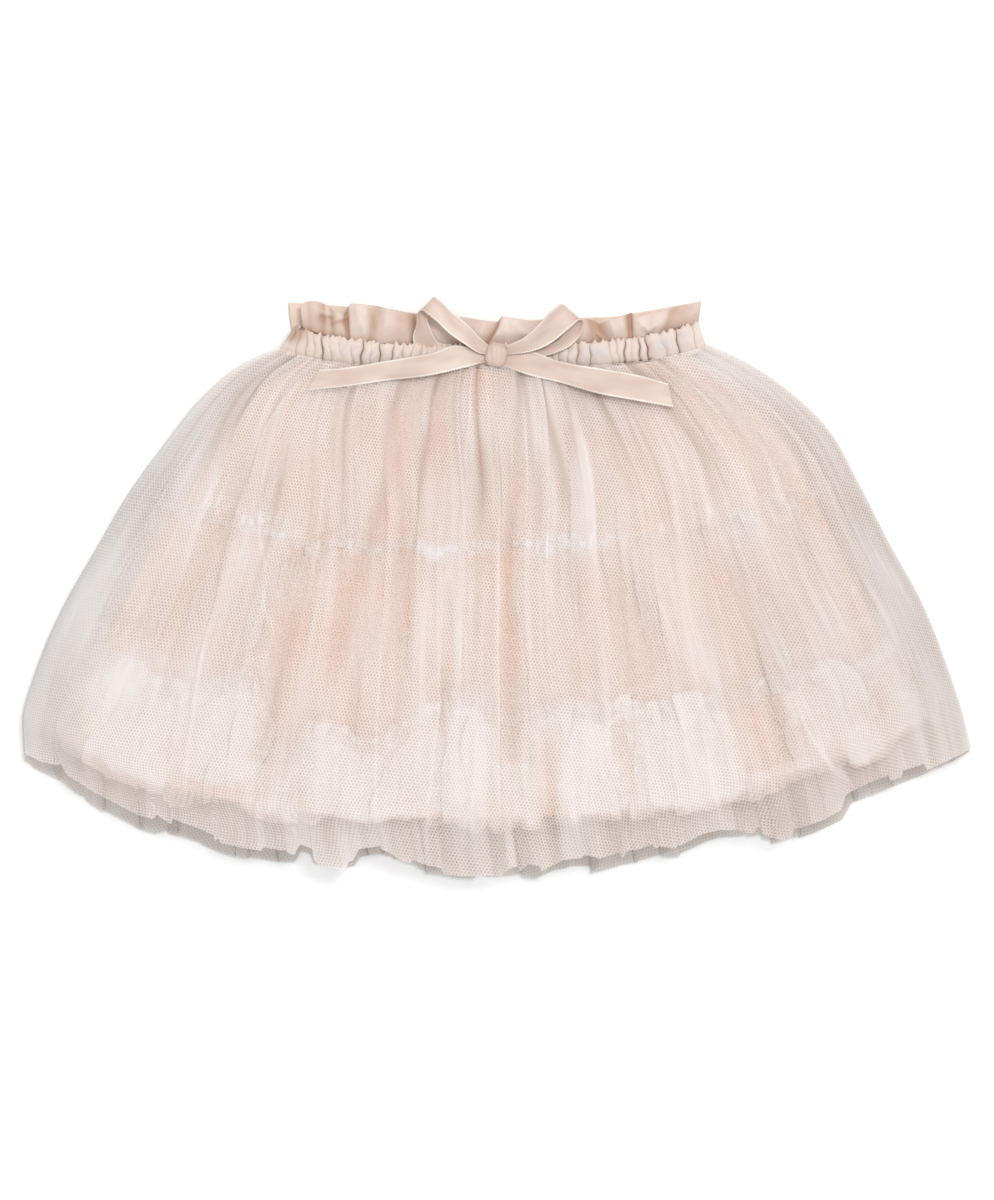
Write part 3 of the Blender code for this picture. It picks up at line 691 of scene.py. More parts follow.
# Lumps where the under-skirt's seams and the frill are bunched and bright: across, drop, half width in mm,
# half height, amount.
LUMPS = (
    (0.425, 0.372, 7.0, 0.016, 2.5), (0.48, 0.364, 6.0, 0.014, 1.8), (0.56, 0.362, 9.0, 0.02, 2.3),
    (0.39, 0.358, 5.0, 0.014, 1.6), (0.64, 0.36, 9.0, 0.018, 1.8), (0.31, 0.368, 8.0, 0.014, 1.6),
    (0.17, 0.345, 9.0, 0.02, 2.2), (0.225, 0.362, 7.0, 0.014, 1.6), (0.73, 0.35, 9.0, 0.016, 1.4),
    (0.11, 0.33, 6.0, 0.02, 1.8), (0.82, 0.345, 8.0, 0.018, 1.3), (0.9, 0.34, 8.0, 0.02, 1.1),
    (0.455, 0.66, 9.0, 0.022, 1.1), (0.5, 0.65, 6.0, 0.018, 0.7), (0.605, 0.655, 10.0, 0.022, 1.2),
    (0.68, 0.655, 8.0, 0.02, 1.0), (0.31, 0.668, 8.0, 0.018, 1.0), (0.38, 0.672, 7.0, 0.016, 0.9),
    (0.06, 0.64, 8.0, 0.024, 1.2), (0.11, 0.65, 9.0, 0.02, 1.1), (0.19, 0.665, 12.0, 0.018, 1.0),
    (0.77, 0.655, 9.0, 0.018, 0.9), (0.85, 0.65, 9.0, 0.018, 0.9), (0.93, 0.64, 8.0, 0.022, 0.8),
)


def lumps(across, drop, row_width):
    """How much the bunched seams below push up at each place."""
    total = 0.0
    for place, at, wide, tall, amount in LUMPS:
        off = (across - place) * row_width / (1.3 * wide)
        total += 0.75 * amount * np.exp(-(off**2) - np.abs((drop - at) / tall) ** 3)
    return total


THINNEST_OVER_FRILL = -0.1
# Uneven net from wide patches to fine ones: seed, cells across, cells down, amount.
NET_GRAINS = ((81, 46, 4, 0.25), (82, 130, 7, 0.35), (83, 300, 10, 0.25), (84, 620, 14, 0.15))
HEM_PANELS = steps(74, 44, 0.9)
STREAKS = scattered_bands(130, 61, 0.6, 0.35, shortest=0.15)
PALE_BANDS = scattered_bands(40, 62, 3.4, 0.5, shortest=0.2)
THIN_BANDS = scattered_bands(36, 63, 3.0, -0.4, shortest=0.15)


def calm(across, drop):
    """How much of the small creases is left: less towards the left edge and over the frill."""
    left = 0.5 * bell(across / 0.14) * smoothstep(0.15, 0.45, drop)
    return 1.0 - left - 0.38 * smoothstep(0.58, 0.72, drop)


def crumpled(seed, across, drop):
    """Patches where crushed net stands up in small tufts, 0 to 1."""
    place = gather_at(across, drop)
    tufts = grain(seed, 240, 100, place, drop) + 0.5 * grain(seed + 1, 90, 40, place, drop)
    return smoothstep(-0.10, 0.35, tufts)


def overlay_closer(across, drop, row_width):
    place = gather_at(across, drop)
    total = veil(STREAKS + PALE_BANDS + THIN_BANDS, across, drop, row_width) * calm(across, drop)
    total += clouds(64, 160, 11.0, 0.08, 0.9, across, drop, row_width)
    for seed, wide, long, amount in NET_GRAINS:
        total += amount * calm(across, drop) * grain(seed, wide, long, place, drop)
    total = mix(total, np.maximum(total, THINNEST_OVER_FRILL), smoothstep(0.64, 0.70, drop))
    total += veil(OVERLAY_BANDS, across, drop, row_width)
    lines = bell(grain(85, 60, 4, place, drop) / 0.05)
    lines = lines * clamp(grain(86, 40, 6, place, drop))
    total += 0.8 * calm(across, drop) * lines
    total += np.interp(across, *HEM_PANELS) * smoothstep(0.86, 0.96, drop)
    total += 0.15 * smoothstep(0.86, 0.91, drop)
    return total + 0.15 * np.exp(-drop / 0.03) + 0.12 * lumps(across, drop, row_width)


# Painted shade on the deep gathers between the folds, mostly near the waist, that light hardly reaches.
PAINTED_SHADE_BANDS = tuple(Band(*row) for row in (
    (0.466, 0.481, 0.486, 0.486, 1.7, 0.75, -0.2, 0.36), (0.385, 0.389, 0.38, 0.38, 1.5, 0.6, -0.2, 0.46),
    (0.215, 0.285, 0.31, 0.312, 1.6, 0.6, -0.2, 0.44), (0.466, 0.478, 0.482, 0.482, 4.5, 0.4, 0.12, 0.42),
    (0.49, 0.508, 0.518, 0.518, 1.4, 0.35, 0.15, 0.5), (0.565, 0.56, 0.59, 0.59, 1.2, 0.35, -0.2, 0.46),
    (0.812, 0.818, 0.82, 0.82, 3.0, 0.35, -0.2, 0.34), (0.308, 0.333, 0.322, 0.322, 2.6, 0.45, -0.2, 0.48),
    (0.604, 0.604, 0.65, 0.65, 1.8, 0.65, -0.2, 0.42), (0.545, 0.523, 0.525, 0.524, 2.8, 0.22, -0.2, 0.55),
    (0.692, 0.711, 0.728, 0.728, 2.2, 0.55, -0.2, 0.4), (0.746, 0.716, 0.7, 0.7, 1.3, 0.35, -0.2, 0.3),
    (0.44, 0.452, 0.456, 0.456, 1.1, 0.45, -0.2, 0.28), (0.5, 0.497, 0.497, 0.497, 1.0, 0.5, -0.2, 0.2),
    (0.18, 0.238, 0.253, 0.238, 3.0, 0.28, 0.34, 0.86), (0.112, 0.131, 0.164, 0.172, 0.9, 0.3, -0.1, 0.8),
    (0.812, 0.809, 0.829, 0.841, 0.9, 0.3, 0.35, 1.05),
))
PAINTED_SHADE_GATHERS = scattered_bands(64, 67, 0.9, 0.36, first=-0.25, last=0.26)


# Painted shade on the front overlay: in its deep gathers, in the valleys of its widest waves, in one patch
# and towards its right side.
def overlay_painted_shade(across, drop, row_width):
    total = veil(PAINTED_SHADE_BANDS + tuple(PAINTED_SHADE_GATHERS), across, drop, row_width)
    total = total * (0.35 + 0.9 * np.exp(-drop / 0.3))
    place = gather_at(across, drop)
    total += 0.12 * smoothstep(0.72, 0.84, across) * smoothstep(0.25, 0.5, drop)
    patch = 0.06 * bell((across - 0.36) / 0.06)
    total += patch * bell((drop - 0.25) / 0.12)
    return total + 0.30 * clamp(-grain(81, 46, 4, place, drop) - 0.1) * np.exp(-drop / 0.3)


# How much whiter the front overlay is: bunched wisps and lumps, and painted light along its sides.
def overlay_brighter(across, drop, row_width):
    place = gather_at(across, drop)
    wisps = clamp(grain(82, 130, 7, place, drop) - 0.3)
    wisps = wisps + clamp(grain(83, 300, 10, place, drop) - 0.4)
    lump = lumps(across, drop, row_width) * (0.05 + 1.2 * crumpled(87, across, drop))
    lump = lump * (1.0 + 0.9 * (1.0 - smoothstep(0.42, 0.55, drop)))
    # Painted light: whiter along the left side, where the net slopes away from the lamp, and a little
    # along the right.
    sides = 0.6 * np.exp(-across * row_width / 24.0) * smoothstep(0.05, 0.35, drop)
    sides = sides + 0.2 * np.exp(-(1.0 - across) * row_width / 20.0) * smoothstep(0.35, 0.6, drop)
    return 0.12 * calm(across, drop) * wisps + 0.24 * lump + sides


OVERLAY_CUT_WIDTH = 680.0
OVERLAY_WAVES = ((81, 46, 4, 1.9), (82, 130, 7, 0.25))
overlay_front = folded_sheet(
    "overlay_front_net", LAYERS["overlay_front"], list(OVERLAY_FOLDS) + scattered_folds(80, 5, 1.6, 0.9),
    np.linspace(0.0, 1.0, 116), 840, OVERLAY_CUT_WIDTH, OVERLAY_NET, overlay_closer,
    hem_of(71, 36, tuple(zip(*FRONT_HEM_UP)), 2.4), overlay_painted_shade, overlay_brighter, OVERLAY_WAVES,
    clear=1.2, ceiling=6.0,
)
finish_piece(overlay_front, "overlay_front")


def back_closer(across, drop, row_width):
    return veil(scattered_bands(80, 66, 1.6, 0.5), across, drop, row_width)


overlay_back = folded_sheet(
    "overlay_back_net", LAYERS["overlay_back"], scattered_folds(70, 11, 2.6, 6.0),
    np.linspace(0.0, 1.0, 80), 560, OVERLAY_CUT_WIDTH, OVERLAY_BACK_NET_PAINTED_SHADE, back_closer,
    hem_of(72, 60, ((0.0, 1.0), (0.0, 0.0)), 0.8), up=False,
)
finish_piece(overlay_back, "overlay_back")


# The line that the frill's gathered heading makes, and its bright or open panels: left and right at their
# top, left and right at their foot, from, to, amount.
FRILL_LINE = (
    (0.0, 0.71), (0.025, 0.69), (0.055, 0.69), (0.085, 0.71), (0.11, 0.7), (0.133, 0.705), (0.155, 0.68),
    (0.196, 0.65), (0.208, 0.66), (0.218, 0.775), (0.256, 0.775), (0.268, 0.72), (0.297, 0.71),
    (0.33, 0.74), (0.367, 0.74), (0.39, 0.7), (0.417, 0.68), (0.445, 0.66), (0.475, 0.65), (0.497, 0.68),
    (0.527, 0.69), (0.578, 0.69), (0.61, 0.68), (0.645, 0.7), (0.67, 0.68), (0.705, 0.7), (0.787, 0.71),
    (0.858, 0.7), (0.92, 0.7), (0.953, 0.735), (0.99, 0.71), (1.0, 0.71),
)
HEADING_STANDS = 0.022
PANEL_EDGE = 0.006
PANELS = (
    (0.58, 0.644, 0.59, 0.652, 0.69, 0.895, 1.3), (0.445, 0.497, 0.44, 0.49, 0.66, 0.85, 1.2),
    (0.283, 0.31, 0.29, 0.315, 0.71, 0.885, 0.9), (0.33, 0.367, 0.328, 0.365, 0.745, 0.87, 0.8),
    (0.655, 0.672, 0.675, 0.685, 0.64, 0.77, 0.9), (0.083, 0.115, 0.088, 0.122, 0.72, 0.89, 0.9),
    (0.163, 0.212, 0.16, 0.217, 0.66, 0.83, 0.9), (0.86, 0.876, 0.86, 0.878, 0.705, 0.785, 0.8),
    (0.703, 0.787, 0.713, 0.795, 0.72, 0.89, 0.5), (0.03, 0.07, 0.03, 0.06, 0.72, 0.86, 0.4),
    (0.395, 0.45, 0.39, 0.444, 0.72, 0.88, 0.5), (0.9, 0.98, 0.9, 0.985, 0.74, 0.86, 0.1),
    (0.15, 0.212, 0.15, 0.215, 0.85, 0.92, -1.6), (0.497, 0.535, 0.505, 0.55, 0.6, 0.78, -1.3),
    (0.206, 0.25, 0.21, 0.244, 0.6, 0.8, -1.8), (0.5, 0.575, 0.5, 0.58, 0.78, 0.89, -0.4),
    (0.785, 0.85, 0.79, 0.86, 0.69, 0.86, -1.8),
)


def panels(across, drop):
    """How much closer the frill is in its panels."""
    total = 0.0
    for left, right, low_left, low_right, start, end, amount in PANELS:
        down = clamp((drop - start) / (end - start))
        inner = smoothstep(-PANEL_EDGE, PANEL_EDGE, across - mix(left, low_left, down))
        outer = smoothstep(-PANEL_EDGE, PANEL_EDGE, mix(right, low_right, down) - across)
        tall = smoothstep(start - 0.01, start + 0.02, drop)
        tall = tall * (1.0 - smoothstep(end - 0.008, end + 0.003, drop))
        total += amount * inner * outer * tall
    return total


def frill_line(across):
    return np.interp(across, *zip(*FRILL_LINE)) - HEADING_STANDS


def tier(name, layer, count, seed, first, last, rows, columns, flat, width, takes, up, seam=0.9):
    """One gathered tier of the under-skirt between two drops. The frill hangs below the others."""
    frill = name.startswith("frill")
    headed = not name.startswith("yoke")
    folds = scattered_folds(count, seed, width, takes, first, last)
    fine = scattered_bands(count, seed + 100, 0.7, 0.3, first, last)
    parted = [band for band in OVERLAY_BANDS if up and band.amount < 0.0]
    parts = 2.6 if frill else 0.9
    wavy = steps(seed + 200, 40, 1.0)
    ragged = steps(seed + 300, 34 if frill else 90, 1.8 if frill else 1.3)

    def lies(across, drop):
        """Where a place comes to lie: the frill hangs from its uneven heading."""
        if not frill or not up:
            return drop
        return last - (last - frill_line(across)) * (last - drop) / (last - first)

    def closer(across, drop, row_width):
        place = gather_at(across, drop)
        down = drop - first - 0.004 * np.interp(across, *wavy)
        total = veil(fine, across, drop, row_width)
        total += veil(parted, across, lies(across, drop), row_width, parts)
        patchy = 0.6 + 0.4 * np.interp(across, *wavy)
        total += seam * patchy * bell(down / 0.016)
        if headed:
            shows = clamp(1.1 + 0.8 * grain(seed + 800, 22, 2, place, drop))
            jag = 0.006 * grain(seed + 820, 300, 2, place, drop)
            rim = 1.0 - smoothstep(0.0, 0.010, drop - first + jag)
            fading = 1.0 - smoothstep(0.0, 0.045, drop - first)
            near = 1.0 - smoothstep(0.03, 0.075, drop - first)
            total = total - 2.4 * mix(fading, rim, shows) + 0.3 * lumps(across, drop, row_width)
            tufts = crumpled(seed + 40, across, drop) * near
            total += (1.6 * tufts - 0.5) * shows * near
        inwards = np.minimum(across, 1.0 - across) * row_width
        inwards = inwards + 7.0 * grain(seed + 830, 40, 9, across, drop)
        total = total - (3.4 if frill else 1.2) * (1.0 - smoothstep(0.0, 18.0, inwards))
        total += 0.6 * smoothstep(0.80, 0.88, across)
        total += clouds(seed + 400, 130, 9.0, 0.05, 1.0, across, drop, row_width)
        total += 0.8 * grain(seed + 500, 60, 12, place, drop)
        total += 0.3 * grain(seed + 600, 240, 16, place, drop)
        if frill and up:
            total += panels(across, lies(across, drop))
        if frill:
            ends = last - 0.020 + 0.014 * grain(seed + 700, 90, 2, place, drop)
            total = total - 2.6 * smoothstep(0.0, 0.026, drop - ends + 0.010)
        return total

    def raised(across, drop):
        """How much higher the ragged heading and foot lie than smooth ones."""
        place = gather_at(across, drop)
        level = 0.0 * drop
        wave = 3.0 * grain(seed + 900, 26, 1, place, level) + 1.8 * grain(seed + 950, 150, 1, place, level)
        near_top = 1.0 - smoothstep(first, first + 0.045, drop)
        near_foot = smoothstep(last - 0.04, last, drop)
        fall = SKIRT_LENGTH * (drop - lies(across, drop))
        if frill:
            uneven = 4.5 * grain(seed + 970, 16, 1, place, level)
            uneven = uneven + 2.5 * grain(seed + 980, 70, 1, place, level)
            fall = fall + uneven * near_foot
        elif headed and up:
            lower = frill_line(across) + 0.04 - last
            fall = -SKIRT_LENGTH * lower * smoothstep(last - 0.17, last, drop)
        return (wave * near_top if headed else 0.0) + np.interp(across, *ragged) * near_foot + fall

    made = folded_sheet(
        name + "_net", LAYERS[layer], folds, np.linspace(first, last, rows), columns, flat[0],
        FRILL_NET if frill else TIER_NET, closer, raised,
        waves=((seed + 60, 200, 70, 1.3),) if headed and up else (), up=up,
    )
    finish_piece(made, name)


tier("yoke_tier_front", "tier_front", 50, 21, 0.004, 0.366, 44, 520, (370.0, 95.0), 2.0, 4.0, True, 0.3)
tier("middle_tier_front", "tier_front", 66, 22, 0.350, 0.655, 40, 620, (500.0, 77.0), 2.0, 4.6, True)
tier("frill_front", "tier_front", 96, 23, 0.628, 0.905, 46, 760, (540.0, 68.0), 1.7, 5.8, True)
tier("yoke_tier_back", "tier_back", 30, 31, 0.004, 0.364, 30, 400, (370.0, 95.0), 2.4, 4.0, False)
tier("middle_tier_back", "tier_back", 40, 32, 0.364, 0.655, 26, 480, (500.0, 77.0), 2.4, 4.6, False)
tier("frill_back", "tier_back", 66, 33, 0.628, 0.87, 26, 600, (560.0, 68.0), 2.0, 6.4, False)


# ---------------------------------------------------------------- lining

LINING_SINKS = 0.6
LINING_THICKNESS = 0.5
LINING_GATHERS = 17
LINING_WEAVE_WIDTH = 400.0


def lining(name, seed, up):
    """One side of the lining, in a few low gathers."""
    layer = LAYERS[name]
    chance = np.random.default_rng(seed)
    drop = np.linspace(0.004, 0.882, 60)[:, None]
    step = np.linspace(0.0, 1.0, 180)[None, :]
    full = puff(drop)
    side = layer.side - NARROWER_AT_WAIST * (1.0 - full)
    x, y = plan(0.5 + (step - 0.5) * side, drop)
    z = layer_height(layer, step, drop) - LINING_SINKS + np.zeros_like(x)
    for i in range(LINING_GATHERS):
        place = (i + chance.uniform(0.2, 0.8)) / LINING_GATHERS + chance.uniform(-0.03, 0.03) * drop
        width = chance.uniform(0.010, 0.022)
        z += chance.uniform(0.3, 0.9) * bell((step - place) / width) * (0.3 + 0.7 * full)
    points = grid(x, y, z)
    spread = grid(step * LINING_WEAVE_WIDTH, -drop * SKIRT_LENGTH)
    made = thicken(sheet_from(name + "_cotton", points, spread, LINING_COTTON, up=up), LINING_THICKNESS)
    finish_piece(made, name)


lining("lining_front", 41, True)
lining("lining_back", 42, False)


# ---------------------------------------------------------------- elastic casing

def waist_seam(ends, across):
    """Places along one of the casing's two seams."""
    (left_x, left_y), (right_x, right_y) = ends
    hang = CASING_SAG * (1.0 - np.abs(2.0 * across - 1.0) ** CASING_SAG_POWER)
    return mix(left_x, right_x, across), mix(left_y, right_y, across) - hang


# The creases between the casing's puffs: their places at its top and bottom seams and their depths.
Crease = namedtuple("Crease", "top low deep")
FRONT_CREASES = tuple(Crease(*row) for row in (
    (0.006, 0.014, 0.8), (0.017, 0.036, 0.6), (0.032, 0.062, 0.8), (0.047, 0.084, 0.9),
    (0.065, 0.103, 1.6), (0.082, 0.124, 0.6), (0.104, 0.148, 0.5), (0.133, 0.174, 0.8), (0.166, 0.19, 1.7),
    (0.186, 0.213, 0.6), (0.206, 0.237, 1.4), (0.243, 0.259, 1.2), (0.264, 0.289, 0.8),
    (0.288, 0.306, 0.7), (0.31, 0.328, 0.9), (0.323, 0.345, 0.7), (0.334, 0.356, 0.8), (0.347, 0.368, 0.8),
    (0.36, 0.381, 0.7), (0.378, 0.398, 0.8), (0.402, 0.421, 0.8), (0.426, 0.444, 0.7), (0.45, 0.466, 0.9),
    (0.475, 0.489, 0.8), (0.499, 0.512, 0.8), (0.523, 0.534, 0.7), (0.547, 0.557, 0.8), (0.571, 0.58, 0.9),
    (0.596, 0.602, 0.7), (0.617, 0.626, 0.8), (0.634, 0.641, 0.8), (0.65, 0.655, 0.9), (0.675, 0.676, 1.0),
    (0.701, 0.697, 1.1), (0.729, 0.73, 0.9), (0.774, 0.782, 0.9), (0.793, 0.796, 0.8), (0.817, 0.808, 1.8),
    (0.832, 0.824, 0.8), (0.852, 0.845, 1.7), (0.867, 0.866, 1.6), (0.901, 0.912, 0.6),
    (0.943, 0.937, 1.2), (0.984, 0.978, 0.7),
))
CASING_RISE = 3.4
PUFF_HEIGHT = 2.5
PUFF_OVERHANG = 1.2
END_OVERHANG = 2.2
CREASE_HALF_WIDTH = 0.5
SAMPLES_TO_A_PUFF = 14
CASING_ROWS = 28
TOOTH = 1.9
CASING_THICKNESS = 0.35
CASING_LENGTH = 205.0
CASING_TOP_LENGTH = 200.0
CASING_HEIGHT = 13.0
PUCKERS = scattered_bands(115, 53, 0.9, 0.8)


def even_creases(count, seed):
    """Creases about as far from each other all along."""
    chance = np.random.default_rng(seed)
    found = []
    for i in range(count):
        place = (i + chance.uniform(0.3, 0.7)) / count
        found.append(Crease(place, place + chance.uniform(-0.25, 0.25) / count, chance.uniform(0.6, 1.6)))
    return found


def casing(name, creases, material, up):
    """The gathered tube round the elastic: puffs between creases, turned under at both seams."""
    t = 0.5 - 0.5 * np.cos(pi * np.arange(SAMPLES_TO_A_PUFF) / SAMPLES_TO_A_PUFF)
    height = np.linspace(-0.07, 1.05, CASING_ROWS)[:, None]
    at = clamp(height)
    places = [0.0 * at]
    for crease in creases:
        places.append(mix(crease.low, crease.top, at) + 0.0015 * np.sin(9.0 * at + 40.0 * crease.low))
    places.append(0.0 * at + 1.0)
    puffs = list(zip(places, places[1:]))
    across = np.concatenate([*[mix(a, b, t[None, :]) for a, b in puffs], places[-1]], axis=1)
    wide = np.concatenate([*[(b - a) + 0.0 * t[None, :] for a, b in puffs], 0.0 * at], axis=1)
    share = np.concatenate([np.tile(t, len(puffs)), [0.0]])[None, :]
    low_x, low_y = waist_seam(CASING_LOW, across)
    top_x, top_y = waist_seam(CASING_TOP, across)
    chance = np.random.default_rng(56)
    hold = [1.0 + 0.0 * at]
    for crease in creases:
        fade = 0.5 + 0.5 * np.sin(3.2 * at + chance.uniform(0.0, TURN))
        hold.append(np.clip(crease.deep / 1.5, 0.3, 1.0) * mix(0.35 + 0.65 * fade, 1.0, crease.deep > 1.1))
    hold.append(1.0 + 0.0 * at)
    held = [np.where(t[None, :] < 0.5, hold[i], hold[i + 1]) for i in range(len(puffs))]
    held = np.concatenate([*held, hold[-1]], axis=1)
    number = np.concatenate([i + t for i in range(len(puffs))] + [[float(len(puffs))]])
    sizes = [float(np.clip((b - a).mean() / 0.030, 0.4, 1.15)) for a, b in puffs]
    size = np.interp(number, np.arange(len(sizes)) + 0.5, sizes)[None, :]
    puffed = 1.0 - (1.0 - np.sin(pi * share) ** 0.75) * held
    x = mix(low_x, top_x, at) + (height - at) * (top_x - low_x)
    y = mix(low_y, top_y, at)
    x = x - (2.4 * (1.0 - across) ** 12 * at if up else 0.0)
    y -= END_OVERHANG * np.abs(2.0 * across - 1.0) ** 3 * (1.0 - at)
    turned = np.sin(pi * clamp(height))
    y -= PUFF_OVERHANG * (2.0 * puffed * size - 1.0) * clamp(1.0 - 4.0 * height) ** 0.5
    teeth = np.zeros_like(across)
    for band in PUCKERS:
        off = np.abs(across - band.waist) * CASING_TOP_LENGTH / band.width
        teeth = np.maximum(teeth, band.amount * clamp(1.0 - off))
    rim = clamp((height - 0.86) / 0.14)
    y += TOOTH * teeth * rim
    z = CASING_RISE * (0.42 + 0.58 * turned**0.5) + PUFF_HEIGHT * puffed * size * (0.5 + 0.5 * turned**0.7)
    for crease, place, grip in zip(creases, places[1:], hold[1:]):
        off = (across - place) * CASING_LENGTH / CREASE_HALF_WIDTH
        z -= crease.deep * grip * bell(off) * (0.55 + 0.45 * turned)
    z += 0.45 * turned * grain(52, 110, 2, across, at) * clamp(wide / 0.03)
    # Painted shade in the hollows of the creases, and a painted grey sheen on the tops of the puffs.
    deep = np.clip(0.30 * hollow(z, 9) + 0.20 * hollow(z, 3), 0.0, 0.7) * (0.5 + 0.5 * turned)
    cool = np.clip(1.1 * (puffed * size - 0.35) * turned, 0.0, 0.9)
    cool = cool * (0.6 + 0.4 * grain(57, 30, 2, across, at))
    # On the front, more painted shade, greyed, at the casing's left end.
    if up:
        shaded = bell((across - 0.012) / 0.022) * smoothstep(0.3, 0.75, height)
        deep = np.maximum(deep, 0.9 * shaded)
        cool = mix(cool, 0.25, shaded)
    z += rim * (1.1 * teeth + 0.3)
    below = clamp(-height / 0.07)
    above = clamp((height - 1.0) / 0.05)
    z = z * (1.0 - 0.75 * below**2) * (1.0 - (0.15 if up else 0.7) * above**2)
    z = CASING_LIFT + 0.15 + z if up else CASING_LIFT - 0.2 - 0.78 * z
    points = grid(x, y, z)
    run = run_along(points[CASING_ROWS // 2])
    spread = grid(run[None, :], CASING_HEIGHT * height)
    made = sheet_from(name + "_cotton", points, spread, material, up=not up, deep=deep, cool=cool)
    made = thicken(made, CASING_THICKNESS)
    finish_piece(made, name)


casing("waistband_front", FRONT_CREASES, WAIST_COTTON, True)
casing("waistband_back", even_creases(44, 51), BACK_COTTON, False)


# ---------------------------------------------------------------- paper-bag heading

# The ruffle's folds as heights along it: the place at its top edge, the place at its seam, the height.
FRONT_PLEATS = (
    (-97.2, -96.8, 2.6), (-94.8, -95.2, 2.0), (-91.2, -92.2, 2.8), (-86.8, -87.8, 1.5),
    (-84.8, -85.2, 3.3), (-82.8, -82.8, 1.7), (-80.2, -79.8, 3.5), (-77.2, -77.2, 3.0),
    (-75.5, -75.2, 0.8), (-74.2, -74.2, 0.3), (-72.8, -73.2, 3.4), (-68.8, -69.8, 4.4),
    (-64.2, -66.8, 4.0), (-59.8, -64.2, 2.0), (-57.2, -61.8, 2.3), (-53.8, -56.8, 4.0),
    (-50.8, -52.8, 3.2), (-46.8, -48.2, 2.2), (-43.8, -44.2, 1.7), (-40.2, -40.8, 0.5),
    (-37.8, -37.8, 2.4), (-27.8, -27.8, 3.2), (-18.8, -21.8, 3.6), (-10.2, -13.8, 2.8), (-4.8, -8.8, 3.6),
    (0.2, -5.8, 1.8), (2.8, -4.2, 0.6), (4.0, -3.5, 4.0), (9.8, 4.8, 4.2), (17.2, 13.2, 3.0),
    (24.8, 22.2, 3.2), (32.2, 31.2, 3.0), (39.2, 38.2, 3.8), (43.2, 44.2, 3.4), (46.2, 49.2, 1.0),
    (50.2, 55.2, 0.3), (53.2, 58.2, 1.8), (56.2, 60.8, 3.8), (62.2, 65.2, 3.6), (64.8, 67.2, 1.0),
    (66.8, 68.5, 0.1), (68.2, 69.5, 3.0), (71.2, 71.8, 4.2), (77.2, 76.2, 3.4), (82.2, 80.2, 4.0),
    (85.2, 82.2, 3.0), (87.8, 84.2, 1.4), (93.2, 90.2, 2.0), (99.2, 98.2, 3.2), (101.8, 101.2, 2.6),
    (103.8, 102.8, 1.8),
)
# Its top edge: place along it, place towards the waist.
FRONT_TOP = (
    (-97.8, 142.5), (-95.8, 143.5), (-92.8, 144.0), (-89.8, 143.8), (-85.8, 142.5), (-81.8, 140.0),
    (-77.8, 137.8), (-74.8, 136.5), (-73.5, 141.0), (-71.8, 142.8), (-66.2, 142.5), (-59.2, 141.5),
    (-52.2, 140.0), (-45.2, 138.5), (-37.2, 137.0), (-25.2, 136.5), (-16.2, 136.0), (-7.8, 134.5),
    (-1.2, 133.0), (1.2, 133.5), (3.5, 136.2), (12.2, 135.0), (22.8, 132.8), (32.2, 132.5), (39.2, 134.8),
    (43.2, 135.5), (47.2, 134.5), (51.2, 132.5), (55.2, 134.0), (60.2, 135.5), (64.2, 137.0),
    (66.8, 138.0), (68.8, 137.5), (70.8, 136.2), (77.2, 138.0), (85.8, 140.0), (94.8, 142.0),
    (100.2, 143.8), (102.8, 144.0),
)
# Short folds across it: from one place to the other, half width, height.
FRONT_TUCKS = (
    (-87.2, 138.2, -82.8, 137.0, 1.0, 0.9), (-82.2, 134.0, -75.2, 136.0, 1.2, 1.0),
    (-69.2, 139.0, -65.8, 128.5, 1.8, 0.7), (72.2, 133.0, 76.8, 128.5, 1.0, 0.9),
    (76.2, 129.5, 80.2, 131.5, 0.8, 0.8), (88.8, 129.5, 97.8, 130.8, 0.5, -1.6),
    (51.2, 127.5, 55.2, 124.0, 0.9, 0.8), (9.2, 132.0, 17.2, 126.0, 1.8, 0.5),
    (-88.0, 135.0, -77.0, 133.5, 2.6, -0.8), (-63.0, 139.0, -61.0, 130.0, 1.6, -0.5),
)
BACK_PLEATS = tuple(
    (-99.0 + 6.7 * i, -99.0 + 6.7 * i, 0.6 + 1.1 * (i % 2) + 0.4 * (i % 3)) for i in range(31)
)
BACK_TOP = ((-104.0, 144.0), (-60.0, 140.5), (0.0, 134.0), (60.0, 136.5), (101.0, 144.0))
HEADING_THICKNESS = 0.7
HEADING_ROWS = 24
HEADING_HEIGHT = 14.0
HEADING_RUN_ROW = 15


